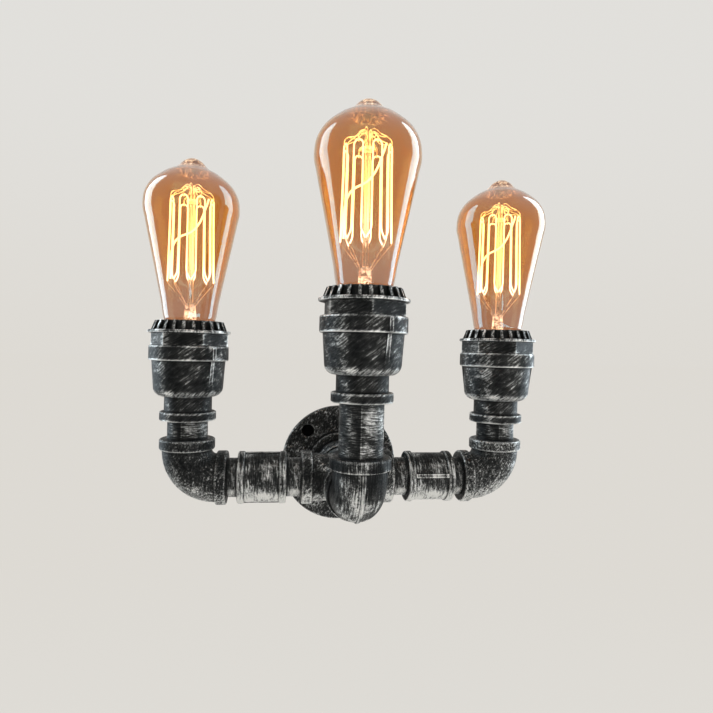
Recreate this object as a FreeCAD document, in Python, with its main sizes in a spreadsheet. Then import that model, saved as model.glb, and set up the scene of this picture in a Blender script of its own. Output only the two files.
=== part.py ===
import FreeCAD, Part
import math
import os

import Sketcher
from FreeCAD import Placement, Rotation, Vector

# A three-lamp wall light made of threaded pipe and malleable-iron fittings.
#
# The frame of the whole light: the wall is the plane Y = 0, the light stands in front of it
# at negative Y, +X is to the right and +Z is up. The origin is the centre of the flange's back.
# The two arms lie along X at Z = 0, the middle lamp stands further forward and higher.

# ---------------------------------------------------------------- driving sizes, in millimetres

DRIVING_SIZES = {
    # tube and threaded ends
    "pipe_od": 26.7,
    "pipe_wall": 2.9,
    "thread_gap": 0.12,
    "thread_depth": 13.0,
    # castings
    "casting_wall": 3.15,
    "band_wall": 5.05,
    "band_width": 7.3,
    "band_round": 1.3,
    "passage_step": 1.35,
    "elbow_port_gap": 0.95,
    "elbow_crotch": 3.0,
    "cross_port_gap": 5.65,
    "cross_crotch": 4.0,
    "cross_sink": 0.3,
    "coupling_length": 33.0,
    "coupling_band_width": 4.8,
    "coupling_band_wall": 4.55,
    "coupling_wall": 3.4,
    "coupling_rib_width": 2.6,
    "coupling_rib_height": 0.9,
    "coupling_round": 1.0,
    # tube that shows between the fittings
    "wall_show": 4.0,
    "front_show": 7.0,
    "inner_show": 10.5,
    "outer_show": 7.2,
    "riser_show": 12.6,
    "middle_lift": 19.5,
    # flange
    "flange_od": 90.5,
    "flange_thickness": 5.0,
    "flange_step_wall": 11.0,
    "flange_step_height": 8.5,
    "flange_height": 17.0,
    "flange_round": 1.4,
    "screw_rim": 0.8,
    "screw_circle": 71.5,
    "screw_hole": 9.6,
    "screw_count": 4,
    # bell reducer
    "bell_ring_wall": 5.25,
    "bell_ring_width": 6.0,
    "bell_neck_wall": 2.35,
    "bell_neck_length": 10.1,
    "bell_cup_height": 24.3,
    "bell_cup_round_share": 0.95,
    "bell_band_width": 10.0,
    "bell_band_wall": 5.15,
    "bell_top_wall": 3.15,
    "bell_floor": 5.0,
    "bell_low_wall": 4.0,
    "bell_round": 0.9,
    "bell_rib_width": 2.6,
    "bell_rib_height": 0.9,
    "bell_rib_on_band": 0.4,
    "bell_bush_depth": 15.3,
    # bush
    "bush_wall": 2.55,
    "bush_shank": 12.2,
    "hexagon_height": 8.4,
    "hexagon_overhang": 1.15,
    # lamp socket
    "fit_gap": 0.1,
    "barrel_wall": 4.175,
    "shoulder_overhang": 2.0,
    "socket_base_height": 13.0,
    "socket_base_inset": 1.25,
    "socket_base_room": 1.5,
    "socket_floor": 6.5,
    "barrel_rise": 4.6,
    "mouth_flare": 2.2,
    "mouth_depth": 5.5,
    "shell_wall": 0.6,
    "shell_gap": 0.35,
    "well_inset": 1.5,
    "contact_width": 6.0,
    "contact_thickness": 0.7,
    "contact_bend_share": 0.8,
    "contact_end_share": 0.4,
    "contact_inset_share": 0.1,
    "contact_reach": 7.0,
    "contact_gap": 0.2,
    # shade ring
    "ring_height": 8.2,
    "ring_lip": 1.9,
    "ring_wall": 2.4,
    "ring_lip_wall": 8.8,
    "ring_rib_foot": 6.5,
    "ring_rib_head": 4.1,
    "ring_core_lean": 1.3,
    "ring_rib_width": 2.0,
    "ring_rib_root": 0.8,
    "ring_round": 0.6,
    "ring_rib_count": 24,
    # bulb
    "cap_od": 26.05,
    "cap_wall": 0.4,
    "cap_height": 27.0,
    "cap_shell_foot": 6.5,
    "cap_taper": 1.5,
    "cap_shelf_gap": 1.0,
    "cap_tip_od": 10.0,
    "cap_tip_height": 1.6,
    "cap_rim_above_bush": 0.1,
    "glass_wall": 0.9,
    "glass_gap": 0.12,
    "glass_skirt": 6.0,
    "throat_rise": 6.0,
    "throat_flare": 3.4,
    "neck_rise": 0.6,
    "bulb_length": 145.7,
    "glass_od": 63.5,
    "dome_radius": 22.4,
    "pip_height": 10.5,
    "pip_foot_od": 18.4,
    "pip_head_od": 7.6,
    "pip_foot_round": 9.0,
    "pip_head_round": 3.0,
    # inside the bulb
    "flare_gap": 0.3,
    "flare_height": 13.0,
    "stem_hub_height": 46.5,
    "stem_hub_od": 7.0,
    "stem_rod_od": 3.6,
    "button_od": 7.8,
    "button_height": 1.5,
    "cage_foot_height": 61.5,
    "cage_foot_od": 30.2,
    "cage_head_drop": 28.2,
    "cage_head_od": 28.6,
    "cage_strands": 16,
    "filament_width": 0.5,
    "support_width": 0.5,
    "support_gap": 0.3,
    "spider_rise": 11.5,
    "spider_reach": 1.6,
    "spider_count": 8,
    # wiring
    "wire_od": 2.0,
    "wire_pitch": 3.0,
    "wire_spread": 6.5,
    "wire_bend": 16.0,
    "wire_hole_depth": 5.0,
    "wire_hole_gap": 0.2,
    "wire_tail": 3.0,
    "wire_splay_bend": 12.0,
    "wire_splay_start": 1.0,
    "wire_end_gap": 0.5,
}

doc = FreeCAD.newDocument("PipeWallLight")
sheet = doc.addObject("Spreadsheet::Sheet", "Sizes")


class Size:
    """A length worked out from the sheet: its number now, and its formula for the document."""

    def __init__(self, number, formula):
        self.number = float(number)
        self.formula = formula

    def __add__(self, other):
        other = as_size(other)
        return Size(self.number + other.number, f"({self.formula} + {other.formula})")

    def __sub__(self, other):
        other = as_size(other)
        return Size(self.number - other.number, f"({self.formula} - {other.formula})")

    def __mul__(self, other):
        other = as_size(other)
        return Size(self.number * other.number, f"({self.formula} * {other.formula})")

    def __truediv__(self, other):
        other = as_size(other)
        return Size(self.number / other.number, f"({self.formula} / {other.formula})")

    def __neg__(self):
        return Size(-self.number, f"(-{self.formula})")


def as_size(value):
    """A Size as it is, or a bare number as a Size."""
    return value if isinstance(value, Size) else Size(value, f"({value})")


class Sizes:
    """The driving sizes by name, and the lengths that follow from them."""


def fill_sheet():
    """Writes each driving size into the sheet, with its name beside it as the alias."""
    sizes = Sizes()
    for row, (name, value) in enumerate(DRIVING_SIZES.items(), start=1):
        sheet.set(f"A{row}", name)
        sheet.set(f"B{row}", str(value))
        sheet.setAlias(f"B{row}", name)
        setattr(sizes, name, Size(value, f"Sizes.{name}"))
    doc.recompute()
    return sizes


sz = fill_sheet()
ZERO = as_size(0)

# ---------------------------------------------------------------- lengths that follow

# tube and castings
pipe_r = sz.pipe_od / 2
pipe_bore_r = pipe_r - sz.pipe_wall
port_r = pipe_r + sz.thread_gap
passage_r = pipe_r - sz.passage_step
casting_r = pipe_r + sz.casting_wall
band_r = pipe_r + sz.band_wall
elbow_reach = pipe_r + sz.thread_depth + sz.elbow_port_gap
elbow_bend = casting_r + sz.elbow_crotch
cross_reach = pipe_r + sz.thread_depth + sz.cross_port_gap

# where the castings stand
half_span = cross_reach + sz.inner_show + sz.coupling_length + sz.outer_show + elbow_reach
arm_y = -(sz.flange_height + sz.wall_show + cross_reach)
front_y = arm_y - cross_reach - sz.front_show - elbow_reach
bell_foot = elbow_reach + sz.riser_show

# socket and bush, from the bulb's cap outwards
cap_r = sz.cap_od / 2
shell_bore_r = cap_r + sz.shell_gap
shell_r = shell_bore_r + sz.shell_wall
body_bore_r = shell_r + sz.fit_gap
barrel_r = body_bore_r + sz.barrel_wall
socket_base_r = barrel_r - sz.socket_base_inset
bush_bore_r = barrel_r + sz.thread_gap
shank_r = bush_bore_r + sz.bush_wall
bell_bore_r = shank_r + sz.thread_gap
bell_band_r = bell_bore_r + sz.bell_band_wall
bell_top_r = bell_bore_r + sz.bell_top_wall
bell_cavity_r = socket_base_r + sz.socket_base_room
bell_low_r = bell_cavity_r + sz.bell_low_wall
hexagon_flat_r = shank_r + sz.hexagon_overhang

# heights in the lamp stack, from the foot of the bell
cup_bottom = sz.bell_ring_width + sz.bell_neck_length
cavity_floor = cup_bottom + sz.bell_floor
band_bottom = cup_bottom + sz.bell_cup_height
bell_height = band_bottom + sz.bell_band_width
ledge = bell_height - sz.bell_bush_depth
shoulder_top = bell_height - sz.bush_shank
hexagon_top = bell_height + sz.hexagon_height
barrel_top = hexagon_top + sz.barrel_rise
socket_foot = ledge - sz.socket_base_height
socket_well = socket_foot + sz.socket_floor
bulb_seat = hexagon_top + sz.cap_rim_above_bush - sz.cap_height

# bulb, from the tip of its contact
cap_bore_r = cap_r - sz.cap_wall
glass_neck_r = cap_bore_r - sz.glass_gap
dome_top = sz.bulb_length - sz.pip_height
dome_centre_z = dome_top - sz.dome_radius
dome_centre_r = sz.glass_od / 2 - sz.dome_radius
cage_head = sz.bulb_length - sz.cage_head_drop

# the three lamps: name, X and Y of the axis, and how far the stack is raised
LAMPS = (
    ("left", -half_span, arm_y, ZERO),
    ("middle", ZERO, front_y, sz.middle_lift),
    ("right", half_span, arm_y, ZERO),
)
# how each lamp's hexagon and mould ribs happened to stop when the joints were tightened, degrees
HEXAGON_TURN = {"left": -1, "middle": 32, "right": -22}
BELL_TURN = {"left": -44, "middle": -63, "right": -17}
COUPLING_TURN = {"left": 0, "right": 78}

TURNED_TO_X = Rotation(Vector(0, 1, 0), 90)
TURNED_TO_WALL_NORMAL = Rotation(Vector(1, 0, 0), 90)


# ---------------------------------------------------------------- sketches and features


def new_body(name):
    """An empty body whose label is the sub-part's name."""
    body = doc.addObject("PartDesign::Body", name)
    body.Label = name
    return body


def new_sketch(body, plane, name, lift=ZERO):
    """A sketch on one of the body's own origin planes, raised along the plane's normal."""
    support = next(item for item in body.Origin.OriginFeatures if item.Role == plane)
    sketch = body.newObject("Sketcher::SketchObject", name)
    sketch.AttachmentSupport = (support, [""])
    sketch.MapMode = "FlatFace"
    sketch.setExpression("AttachmentOffset.Base.z", lift.formula)
    return sketch


def bind(sketch, constraint, size):
    """Adds a dimension to the sketch and ties it to the sheet."""
    index = sketch.addConstraint(constraint)
    sketch.setExpression(f"Constraints[{index}]", size.formula)


def pin(sketch, shape, point, across, along):
    """Holds one point of a sketch at a place worked out from the sheet."""
    across = as_size(across)
    along = as_size(along)
    bind(sketch, Sketcher.Constraint("DistanceX", -1, 1, shape, point, across.number), across)
    bind(sketch, Sketcher.Constraint("DistanceY", -1, 1, shape, point, along.number), along)


def outline(body, plane, name, corners):
    """A closed outline of straight lines, each corner pinned to the sheet."""
    sketch = new_sketch(body, plane, name)
    corners = [(as_size(across), as_size(along)) for across, along in corners]
    spots = [Vector(across.number, along.number, 0) for across, along in corners]
    count = len(spots)
    for index in range(count):
        sketch.addGeometry(Part.LineSegment(spots[index], spots[(index + 1) % count]))
    for index in range(count):
        sketch.addConstraint(Sketcher.Constraint("Coincident", index, 2, (index + 1) % count, 1))
    for index, (across, along) in enumerate(corners):
        pin(sketch, index, 1, across, along)
    return sketch


def circle(body, plane, name, radius, lift=ZERO, across=ZERO, along=ZERO):
    """One pinned circle."""
    sketch = new_sketch(body, plane, name, lift)
    centre = Vector(across.number, along.number, 0)
    sketch.addGeometry(Part.Circle(centre, Vector(0, 0, 1), radius.number))
    pin(sketch, 0, 3, across, along)
    bind(sketch, Sketcher.Constraint("Radius", 0, radius.number), radius)
    return sketch


def turn_section(body, name, sketch, axis="V_Axis", cut=False):
    """Turns a finished section about one of its sketch's axes, as material or as a cut."""
    feature = body.newObject("PartDesign::Groove" if cut else "PartDesign::Revolution", name)
    feature.Profile = sketch
    feature.ReferenceAxis = (sketch, [axis])
    feature.Angle = 360
    body.Tip = feature
    return feature


def turned(body, name, corners, plane="XZ_Plane", axis="V_Axis", cut=False):
    """Turns an outline given as (radius, height along the axis) corners."""
    if axis == "H_Axis":
        corners = [(height, radius) for radius, height in corners]
    sketch = outline(body, plane, name + "Section", corners)
    return turn_section(body, name, sketch, axis, cut)


def drilled(body, name, radius, start, end, plane="XZ_Plane", axis="V_Axis"):
    """A round hole along an axis of the sketch plane."""
    corners = [(ZERO, start), (radius, start), (radius, end), (ZERO, end)]
    return turned(body, name, corners, plane, axis, cut=True)


def padded(body, name, sketch, length, both_sides=False):
    """Pads a sketch along its normal."""
    feature = body.newObject("PartDesign::Pad", name)
    feature.Profile = sketch
    feature.SideType = "Symmetric" if both_sides else "One side"
    feature.setExpression("Length", length.formula)
    body.Tip = feature
    return feature


def repeated_round(body, name, feature, plane_or_axis, count):
    """Repeats a feature round one of the body's own axes."""
    axis = next(item for item in body.Origin.OriginFeatures if item.Role == plane_or_axis)
    pattern = body.newObject("PartDesign::PolarPattern", name)
    pattern.Originals = [feature]
    pattern.Axis = (axis, [""])
    pattern.Angle = 360
    pattern.setExpression("Occurrences", count.formula)
    body.Tip = pattern
    return pattern


def rounded(body, name, kind, size, wanted):
    """Fillets or chamfers the edges of the latest feature that the test accepts."""
    doc.recompute()
    base = body.Tip
    names = [f"Edge{index}" for index, edge in enumerate(base.Shape.Edges, start=1) if wanted(edge)]
    feature = body.newObject(f"PartDesign::{kind}", name)
    feature.Base = (base, names)
    feature.setExpression("Radius" if kind == "Fillet" else "Size", size.formula)
    body.Tip = feature
    return feature


def circle_of(*radii):
    """A test for circular edges of any of these radii, wherever they are."""

    def test(edge):
        if not isinstance(edge.Curve, Part.Circle):
            return False
        return any(abs(edge.Curve.Radius - radius.number) < 0.001 for radius in radii)

    return test


def circle_at(radius, *heights):
    """A test for circular edges of one radius at any of these heights on the body's Z axis."""

    def test(edge):
        if not circle_of(radius)(edge):
            return False
        return any(abs(edge.Curve.Center.z - height.number) < 0.001 for height in heights)

    return test


def place(piece, across, depth, height, rotation=Rotation()):
    """Stands a sub-part where the sheet's sizes put it."""
    piece.Placement = Placement(Vector(), rotation)
    for letter, spot in zip("xyz", (across, depth, height)):
        piece.setExpression(f"Placement.Base.{letter}", as_size(spot).formula)


# ---------------------------------------------------------------- tube and fittings


def nipple(name, show, across, depth, height, rotation=Rotation()):
    """A threaded length of tube. Its middle is the middle of the stretch that shows."""
    body = new_body(name)
    end = show / 2 + sz.thread_depth
    turned(body, "Tube", [(pipe_bore_r, -end), (pipe_r, -end), (pipe_r, end), (pipe_bore_r, end)])
    place(body, across, depth, height, rotation)


def port_band(body, name, plane, axis, mouth, inner):
    """The thick band round one mouth of a casting."""
    corners = [(ZERO, inner), (band_r, inner), (band_r, mouth), (ZERO, mouth)]
    turned(body, name, corners, plane, axis)


def bend_path(body, reach, bend):
    """The centre line of a square bend: down the Z axis, round, and out along the X axis."""
    sketch = new_sketch(body, "XZ_Plane", "BendPath")
    sketch.addGeometry(Part.LineSegment(Vector(0, reach.number, 0), Vector(0, bend.number, 0)))
    quarter = Part.Circle(Vector(bend.number, bend.number, 0), Vector(0, 0, 1), bend.number)
    sketch.addGeometry(Part.ArcOfCircle(quarter, math.pi, 1.5 * math.pi))
    sketch.addGeometry(Part.LineSegment(Vector(bend.number, 0, 0), Vector(reach.number, 0, 0)))
    pin(sketch, 0, 1, ZERO, reach)
    pin(sketch, 0, 2, ZERO, bend)
    pin(sketch, 2, 1, bend, ZERO)
    pin(sketch, 2, 2, reach, ZERO)
    sketch.addConstraint(Sketcher.Constraint("Coincident", 0, 2, 1, 1))
    sketch.addConstraint(Sketcher.Constraint("Coincident", 1, 2, 2, 1))
    bind(sketch, Sketcher.Constraint("Radius", 1, bend.number), bend)
    return sketch


def swept(body, name, kind, radius, path, lift):
    """Sweeps a circle along the bend, as material or as a cut."""
    section = circle(body, "XY_Plane", name + "Section", radius, lift)
    feature = body.newObject(kind, name)
    feature.Profile = section
    feature.Spine = (path, ["Edge1", "Edge2", "Edge3"])
    body.Tip = feature


def elbow(name, across, depth, turn):
    """A square elbow: a swept casting with a band and a threaded port at each mouth."""
    body = new_body(name)
    path = bend_path(body, elbow_reach, elbow_bend)
    swept(body, "Bend", "PartDesign::AdditivePipe", casting_r, path, elbow_reach)
    inner = elbow_reach - sz.band_width
    port_band(body, "UpperBand", "XZ_Plane", "V_Axis", elbow_reach, inner)
    port_band(body, "SideBand", "XZ_Plane", "H_Axis", elbow_reach, inner)
    rounded(body, "BandRounds", "Fillet", sz.band_round, circle_of(band_r))
    swept(body, "Passage", "PartDesign::SubtractivePipe", passage_r, path, elbow_reach)
    port_end = pipe_r + sz.elbow_port_gap / 2
    drilled(body, "UpperPort", port_r, port_end, elbow_reach)
    drilled(body, "SidePort", port_r, port_end, elbow_reach, axis="H_Axis")
    place(body, across, depth, ZERO, Rotation(Vector(0, 0, 1), turn))


def cross_crotch(body):
    """The rounded inner corner between two neighbouring ports, repeated at all four."""
    centre = casting_r + sz.cross_crotch
    support = next(item for item in body.Origin.OriginFeatures if item.Role == "XY_Plane")
    torus = body.newObject("PartDesign::AdditiveTorus", "Crotch")
    torus.AttachmentSupport = (support, [""])
    torus.MapMode = "FlatFace"
    torus.AttachmentOffset = Placement(Vector(), Rotation(Vector(0, 0, 1), 180))
    torus.setExpression("AttachmentOffset.Base.x", centre.formula)
    torus.setExpression("AttachmentOffset.Base.y", centre.formula)
    torus.setExpression("Radius1", centre.formula)
    torus.setExpression("Radius2", (casting_r - sz.cross_sink).formula)
    torus.Angle1 = -180
    torus.Angle2 = 180
    torus.Angle3 = 90
    repeated_round(body, "Crotches", torus, "Z_Axis", as_size(4))


def pipe_cross():
    """The four-way casting that joins the wall pipe, both arms and the front pipe."""
    body = new_body("pipe_cross")
    inner = cross_reach - sz.band_width
    section = [
        (ZERO, -cross_reach),
        (band_r, -cross_reach),
        (band_r, -inner),
        (casting_r, -inner),
        (casting_r, inner),
        (band_r, inner),
        (band_r, cross_reach),
        (ZERO, cross_reach),
    ]
    turned(body, "SideArms", section, "XY_Plane", "H_Axis")
    turned(body, "DepthArms", section, "XY_Plane", "V_Axis")
    rounded(body, "BandRounds", "Fillet", sz.band_round, circle_of(band_r))
    cross_crotch(body)
    drilled(body, "SidePorts", port_r, -cross_reach, cross_reach, "XY_Plane", "H_Axis")
    drilled(body, "DepthPorts", port_r, -cross_reach, cross_reach, "XY_Plane", "V_Axis")
    place(body, ZERO, arm_y, ZERO)


def coupling(name, across, turn):
    """A banded sleeve with a casting rib along each side."""
    body = new_body(name)
    end = sz.coupling_length / 2
    inner = end - sz.coupling_band_width
    thick = pipe_r + sz.coupling_band_wall
    thin = pipe_r + sz.coupling_wall
    section = [
        (port_r, -end),
        (thick, -end),
        (thick, -inner),
        (thin, -inner),
        (thin, inner),
        (thick, inner),
        (thick, end),
        (port_r, end),
    ]
    turned(body, "Sleeve", section)
    rounded(body, "BandRounds", "Fillet", sz.coupling_round, circle_of(thick))
    inside = thin - sz.coupling_wall / 2
    outside = thin + sz.coupling_rib_height
    rib = outline(
        body,
        "XZ_Plane",
        "RibSide",
        [(inside, -inner), (outside, -inner), (outside, inner), (inside, inner)],
    )
    pad = padded(body, "Rib", rib, sz.coupling_rib_width, both_sides=True)
    repeated_round(body, "Ribs", pad, "Z_Axis", as_size(2))
    spin = Rotation(Vector(0, 0, 1), turn)
    place(body, across, arm_y, ZERO, TURNED_TO_X.multiply(spin))


def wall_flange():
    """The round wall plate with its stepped boss and four screw holes."""
    body = new_body("wall_flange")
    plate_r = sz.flange_od / 2
    step_r = pipe_r + sz.flange_step_wall
    port_end = sz.flange_height - sz.thread_depth - sz.elbow_port_gap
    section = [
        (passage_r, ZERO),
        (plate_r, ZERO),
        (plate_r, sz.flange_thickness),
        (step_r, sz.flange_thickness),
        (step_r, sz.flange_step_height),
        (band_r, sz.flange_step_height),
        (band_r, sz.flange_height),
        (port_r, sz.flange_height),
        (port_r, port_end),
        (passage_r, port_end),
    ]
    turned(body, "Plate", section)
    rounded(body, "PlateRound", "Fillet", sz.flange_round, circle_at(plate_r, sz.flange_thickness))
    rounded(body, "StepRound", "Fillet", sz.flange_round, circle_at(step_r, sz.flange_step_height))
    rounded(body, "BossRound", "Fillet", sz.flange_round, circle_at(band_r, sz.flange_height))
    hole = circle(body, "XY_Plane", "HolePlace", sz.screw_hole / 2, across=sz.screw_circle / 2)
    pocket = body.newObject("PartDesign::Pocket", "ScrewHole")
    pocket.Profile = hole
    pocket.Type = "ThroughAll"
    pocket.Reversed = True
    body.Tip = pocket
    repeated_round(body, "ScrewHoles", pocket, "Z_Axis", sz.screw_count)
    rims = circle_at(sz.screw_hole / 2, sz.flange_thickness)
    rounded(body, "ScrewRims", "Chamfer", sz.screw_rim, rims)
    diagonal = Rotation(Vector(0, 0, 1), 45)
    place(body, ZERO, ZERO, ZERO, TURNED_TO_WALL_NORMAL.multiply(diagonal))


def pipework():
    """Every tube and fitting, from the wall outwards."""
    wall_flange()
    to_depth = TURNED_TO_WALL_NORMAL
    wall_nipple_y = -(sz.flange_height + sz.wall_show / 2)
    nipple("wall_nipple", sz.wall_show, ZERO, wall_nipple_y, ZERO, to_depth)
    pipe_cross()
    front_nipple_y = arm_y - cross_reach - sz.front_show / 2
    nipple("front_nipple", sz.front_show, ZERO, front_nipple_y, ZERO, to_depth)
    elbow("front_elbow", ZERO, front_y, 90)
    middle_show = sz.riser_show + sz.middle_lift
    nipple("middle_riser", middle_show, ZERO, front_y, elbow_reach + middle_show / 2)
    inner_x = cross_reach + sz.inner_show / 2
    coupling_x = cross_reach + sz.inner_show + sz.coupling_length / 2
    outer_x = half_span - elbow_reach - sz.outer_show / 2
    for side, sign, turn in (("left", -1, 0), ("right", 1, 180)):
        nipple(f"{side}_inner_nipple", sz.inner_show, inner_x * sign, arm_y, ZERO, TURNED_TO_X)
        coupling(f"{side}_coupling", coupling_x * sign, COUPLING_TURN[side])
        nipple(f"{side}_outer_nipple", sz.outer_show, outer_x * sign, arm_y, ZERO, TURNED_TO_X)
        elbow(f"{side}_elbow", half_span * sign, arm_y, turn)
        riser_z = elbow_reach + sz.riser_show / 2
        nipple(f"{side}_riser", sz.riser_show, half_span * sign, arm_y, riser_z)


# ---------------------------------------------------------------- lamp stack


def bell_reducer(name, across, depth, height, turn):
    """The bell-shaped reducer between riser and lamp holder, with its two mould ribs."""
    body = new_body(name)
    ring_r = pipe_r + sz.bell_ring_wall
    neck_r = pipe_r + sz.bell_neck_wall
    section = [
        (port_r, ZERO),
        (ring_r, ZERO),
        (ring_r, sz.bell_ring_width),
        (neck_r, sz.bell_ring_width),
        (neck_r, cup_bottom),
        (bell_low_r, cup_bottom),
        (bell_top_r, band_bottom),
        (bell_band_r, band_bottom),
        (bell_band_r, bell_height),
        (port_r, bell_height),
    ]
    turned(body, "Outside", section)
    cup_round = (bell_low_r - neck_r) * sz.bell_cup_round_share
    rounded(body, "CupRound", "Fillet", cup_round, circle_at(bell_low_r, cup_bottom))
    rounded(body, "BandRounds", "Fillet", sz.bell_round, circle_of(bell_band_r, ring_r))
    rib_top = bell_height - sz.bell_round
    rib_inside = bell_bore_r + sz.bell_top_wall / 3
    rib_side = [
        (neck_r, cup_bottom + sz.bell_floor / 2),
        (bell_low_r - cup_round / 2, cup_bottom + cup_round / 6),
        (bell_low_r + sz.bell_rib_on_band, cup_bottom + cup_round),
        (bell_top_r + sz.bell_rib_height, band_bottom),
        (bell_band_r + sz.bell_rib_on_band, band_bottom + sz.bell_round),
        (bell_band_r + sz.bell_rib_on_band, rib_top),
        (rib_inside, rib_top),
        (rib_inside, band_bottom),
        (neck_r, cavity_floor),
    ]
    rib = padded(body, "Rib", outline(body, "XZ_Plane", "RibSide", rib_side), sz.bell_rib_width, True)
    repeated_round(body, "Ribs", rib, "Z_Axis", as_size(2))
    bore = [
        (ZERO, cavity_floor),
        (bell_cavity_r, cavity_floor),
        (bell_cavity_r, ledge),
        (bell_bore_r, ledge),
        (bell_bore_r, bell_height),
        (ZERO, bell_height),
    ]
    turned(body, "Cavity", bore, cut=True)
    place(body, across, depth, height, Rotation(Vector(0, 0, 1), turn))


def hexagon_sketch(body, lift, flat_radius):
    """A regular hexagon with a flat facing -Y, drawn in a circle through its corners."""
    corner_r = flat_radius / math.cos(math.pi / 6)
    sketch = new_sketch(body, "XY_Plane", "Hexagon", lift)
    angles = [math.radians(60 * step) for step in range(6)]
    spots = [Vector(math.cos(a), math.sin(a), 0) * corner_r.number for a in angles]
    for index in range(6):
        sketch.addGeometry(Part.LineSegment(spots[index], spots[(index + 1) % 6]))
    for index in range(6):
        sketch.addConstraint(Sketcher.Constraint("Coincident", index, 2, (index + 1) % 6, 1))
    for index, angle in enumerate(angles):
        across = corner_r * round(math.cos(angle), 9)
        along = corner_r * round(math.sin(angle), 9)
        pin(sketch, index, 1, across, along)
    return sketch


def hex_bush(name, across, depth, height, turn):
    """The hexagon bush that closes the bell and holds the lamp holder's barrel."""
    body = new_body(name)
    padded(body, "Head", hexagon_sketch(body, bell_height, hexagon_flat_r), sz.hexagon_height)
    shank = [
        (ZERO, shoulder_top),
        (shank_r, shoulder_top),
        (shank_r, bell_height),
        (ZERO, bell_height),
    ]
    turned(body, "Shank", shank)
    drilled(body, "Bore", bush_bore_r, shoulder_top, hexagon_top)
    place(body, across, depth, height, Rotation(Vector(0, 0, 1), turn))


def shade_ring(name, across, depth, height):
    """The ribbed ring that screws down on the barrel and clamps it in the bush."""
    body = new_body(name)
    top = hexagon_top + sz.ring_height
    lip_top = hexagon_top + sz.ring_lip
    core_foot = bush_bore_r + sz.ring_wall + sz.ring_core_lean
    core_head = bush_bore_r + sz.ring_wall
    section = [
        (bush_bore_r, hexagon_top),
        (bush_bore_r + sz.ring_lip_wall, hexagon_top),
        (bush_bore_r + sz.ring_lip_wall, lip_top),
        (core_foot, lip_top),
        (core_head, top),
        (bush_bore_r, top),
    ]
    turned(body, "Core", section)
    lip_r = bush_bore_r + sz.ring_lip_wall
    rounded(body, "LipRounds", "Fillet", sz.ring_round, circle_of(lip_r))
    rib_side = [
        (core_head - sz.ring_rib_root, lip_top),
        (bush_bore_r + sz.ring_rib_foot, lip_top),
        (bush_bore_r + sz.ring_rib_head, top),
        (core_head - sz.ring_rib_root, top),
    ]
    rib = padded(body, "Rib", outline(body, "XZ_Plane", "RibSide", rib_side), sz.ring_rib_width, True)
    repeated_round(body, "Ribs", rib, "Z_Axis", sz.ring_rib_count)
    place(body, across, depth, height)


def socket_body(name, across, depth, height, turn):
    """The insulating lamp holder: base, shoulder and barrel, open at the top."""
    body = new_body(name)
    shoulder_r = barrel_r + sz.shoulder_overhang
    well_r = cap_r - sz.well_inset
    section = [
        (ZERO, socket_foot),
        (socket_base_r, socket_foot),
        (socket_base_r, ledge),
        (shoulder_r, ledge),
        (shoulder_r, shoulder_top),
        (barrel_r, shoulder_top),
        (barrel_r, barrel_top),
        (ZERO, barrel_top),
    ]
    turned(body, "Outside", section)
    shelf = bulb_seat + sz.cap_shell_foot - sz.cap_shelf_gap
    bore = [
        (ZERO, socket_well),
        (well_r, socket_well),
        (well_r, shelf),
        (body_bore_r, shelf),
        (body_bore_r, barrel_top - sz.mouth_depth),
        (body_bore_r + sz.mouth_flare, barrel_top),
        (ZERO, barrel_top),
    ]
    turned(body, "Bore", bore, cut=True)
    for side in (-1, 1):
        spot = circle(
            body,
            "XY_Plane",
            "WireHolePlace",
            sz.wire_od / 2 + sz.wire_hole_gap,
            socket_foot,
            across=sz.wire_spread * side,
        )
        hole = body.newObject("PartDesign::Pocket", "WireHole")
        hole.Profile = spot
        hole.Reversed = True
        hole.setExpression("Length", sz.wire_hole_depth.formula)
        body.Tip = hole
    place(body, across, depth, height, Rotation(Vector(0, 0, 1), turn))


def socket_shell(name, across, depth, height):
    """The metal screw shell that the bulb's cap turns in, drawn as a plain sleeve."""
    body = new_body(name)
    foot = bulb_seat + sz.cap_shell_foot - sz.cap_shelf_gap
    head = barrel_top - sz.mouth_depth
    turned(
        body,
        "Sleeve",
        [(shell_bore_r, foot), (shell_r, foot), (shell_r, head), (shell_bore_r, head)],
    )
    place(body, across, depth, height)


def socket_contact(name, across, depth, height):
    """The bent spring leaf under the bulb's tip."""
    body = new_body(name)
    low = socket_well
    high = bulb_seat - sz.contact_gap
    reach = sz.contact_reach
    leaf = sz.contact_thickness
    middle = (low + high) / 2
    bend = reach * sz.contact_bend_share
    end = reach * sz.contact_end_share
    inset = reach * sz.contact_inset_share
    side = [
        (-reach, low),
        (end, low),
        (bend, middle),
        (end, high),
        (-end, high),
        (-end, high - leaf),
        (end - inset, high - leaf),
        (bend - inset - leaf / 2, middle),
        (end - inset, low + leaf),
        (-reach, low + leaf),
    ]
    padded(body, "Leaf", outline(body, "XZ_Plane", "LeafSide", side), sz.contact_width, True)
    place(body, across, depth, height)


def lamp_stacks():
    """The bell, bush, lamp holder and ring of each lamp."""
    for name, across, depth, lift in LAMPS:
        foot = bell_foot + lift
        bell_reducer(f"{name}_bell_reducer", across, depth, foot, BELL_TURN[name])
        hex_bush(f"{name}_hex_bush", across, depth, foot, HEXAGON_TURN[name])
        shade_ring(f"{name}_shade_ring", across, depth, foot)
        wire_side = 0 if name == "middle" else 90
        socket_body(f"{name}_socket_body", across, depth, foot, wire_side)
        socket_shell(f"{name}_socket_shell", across, depth, foot)
        socket_contact(f"{name}_socket_contact", across, depth, foot)


# ---------------------------------------------------------------- bulbs


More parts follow.
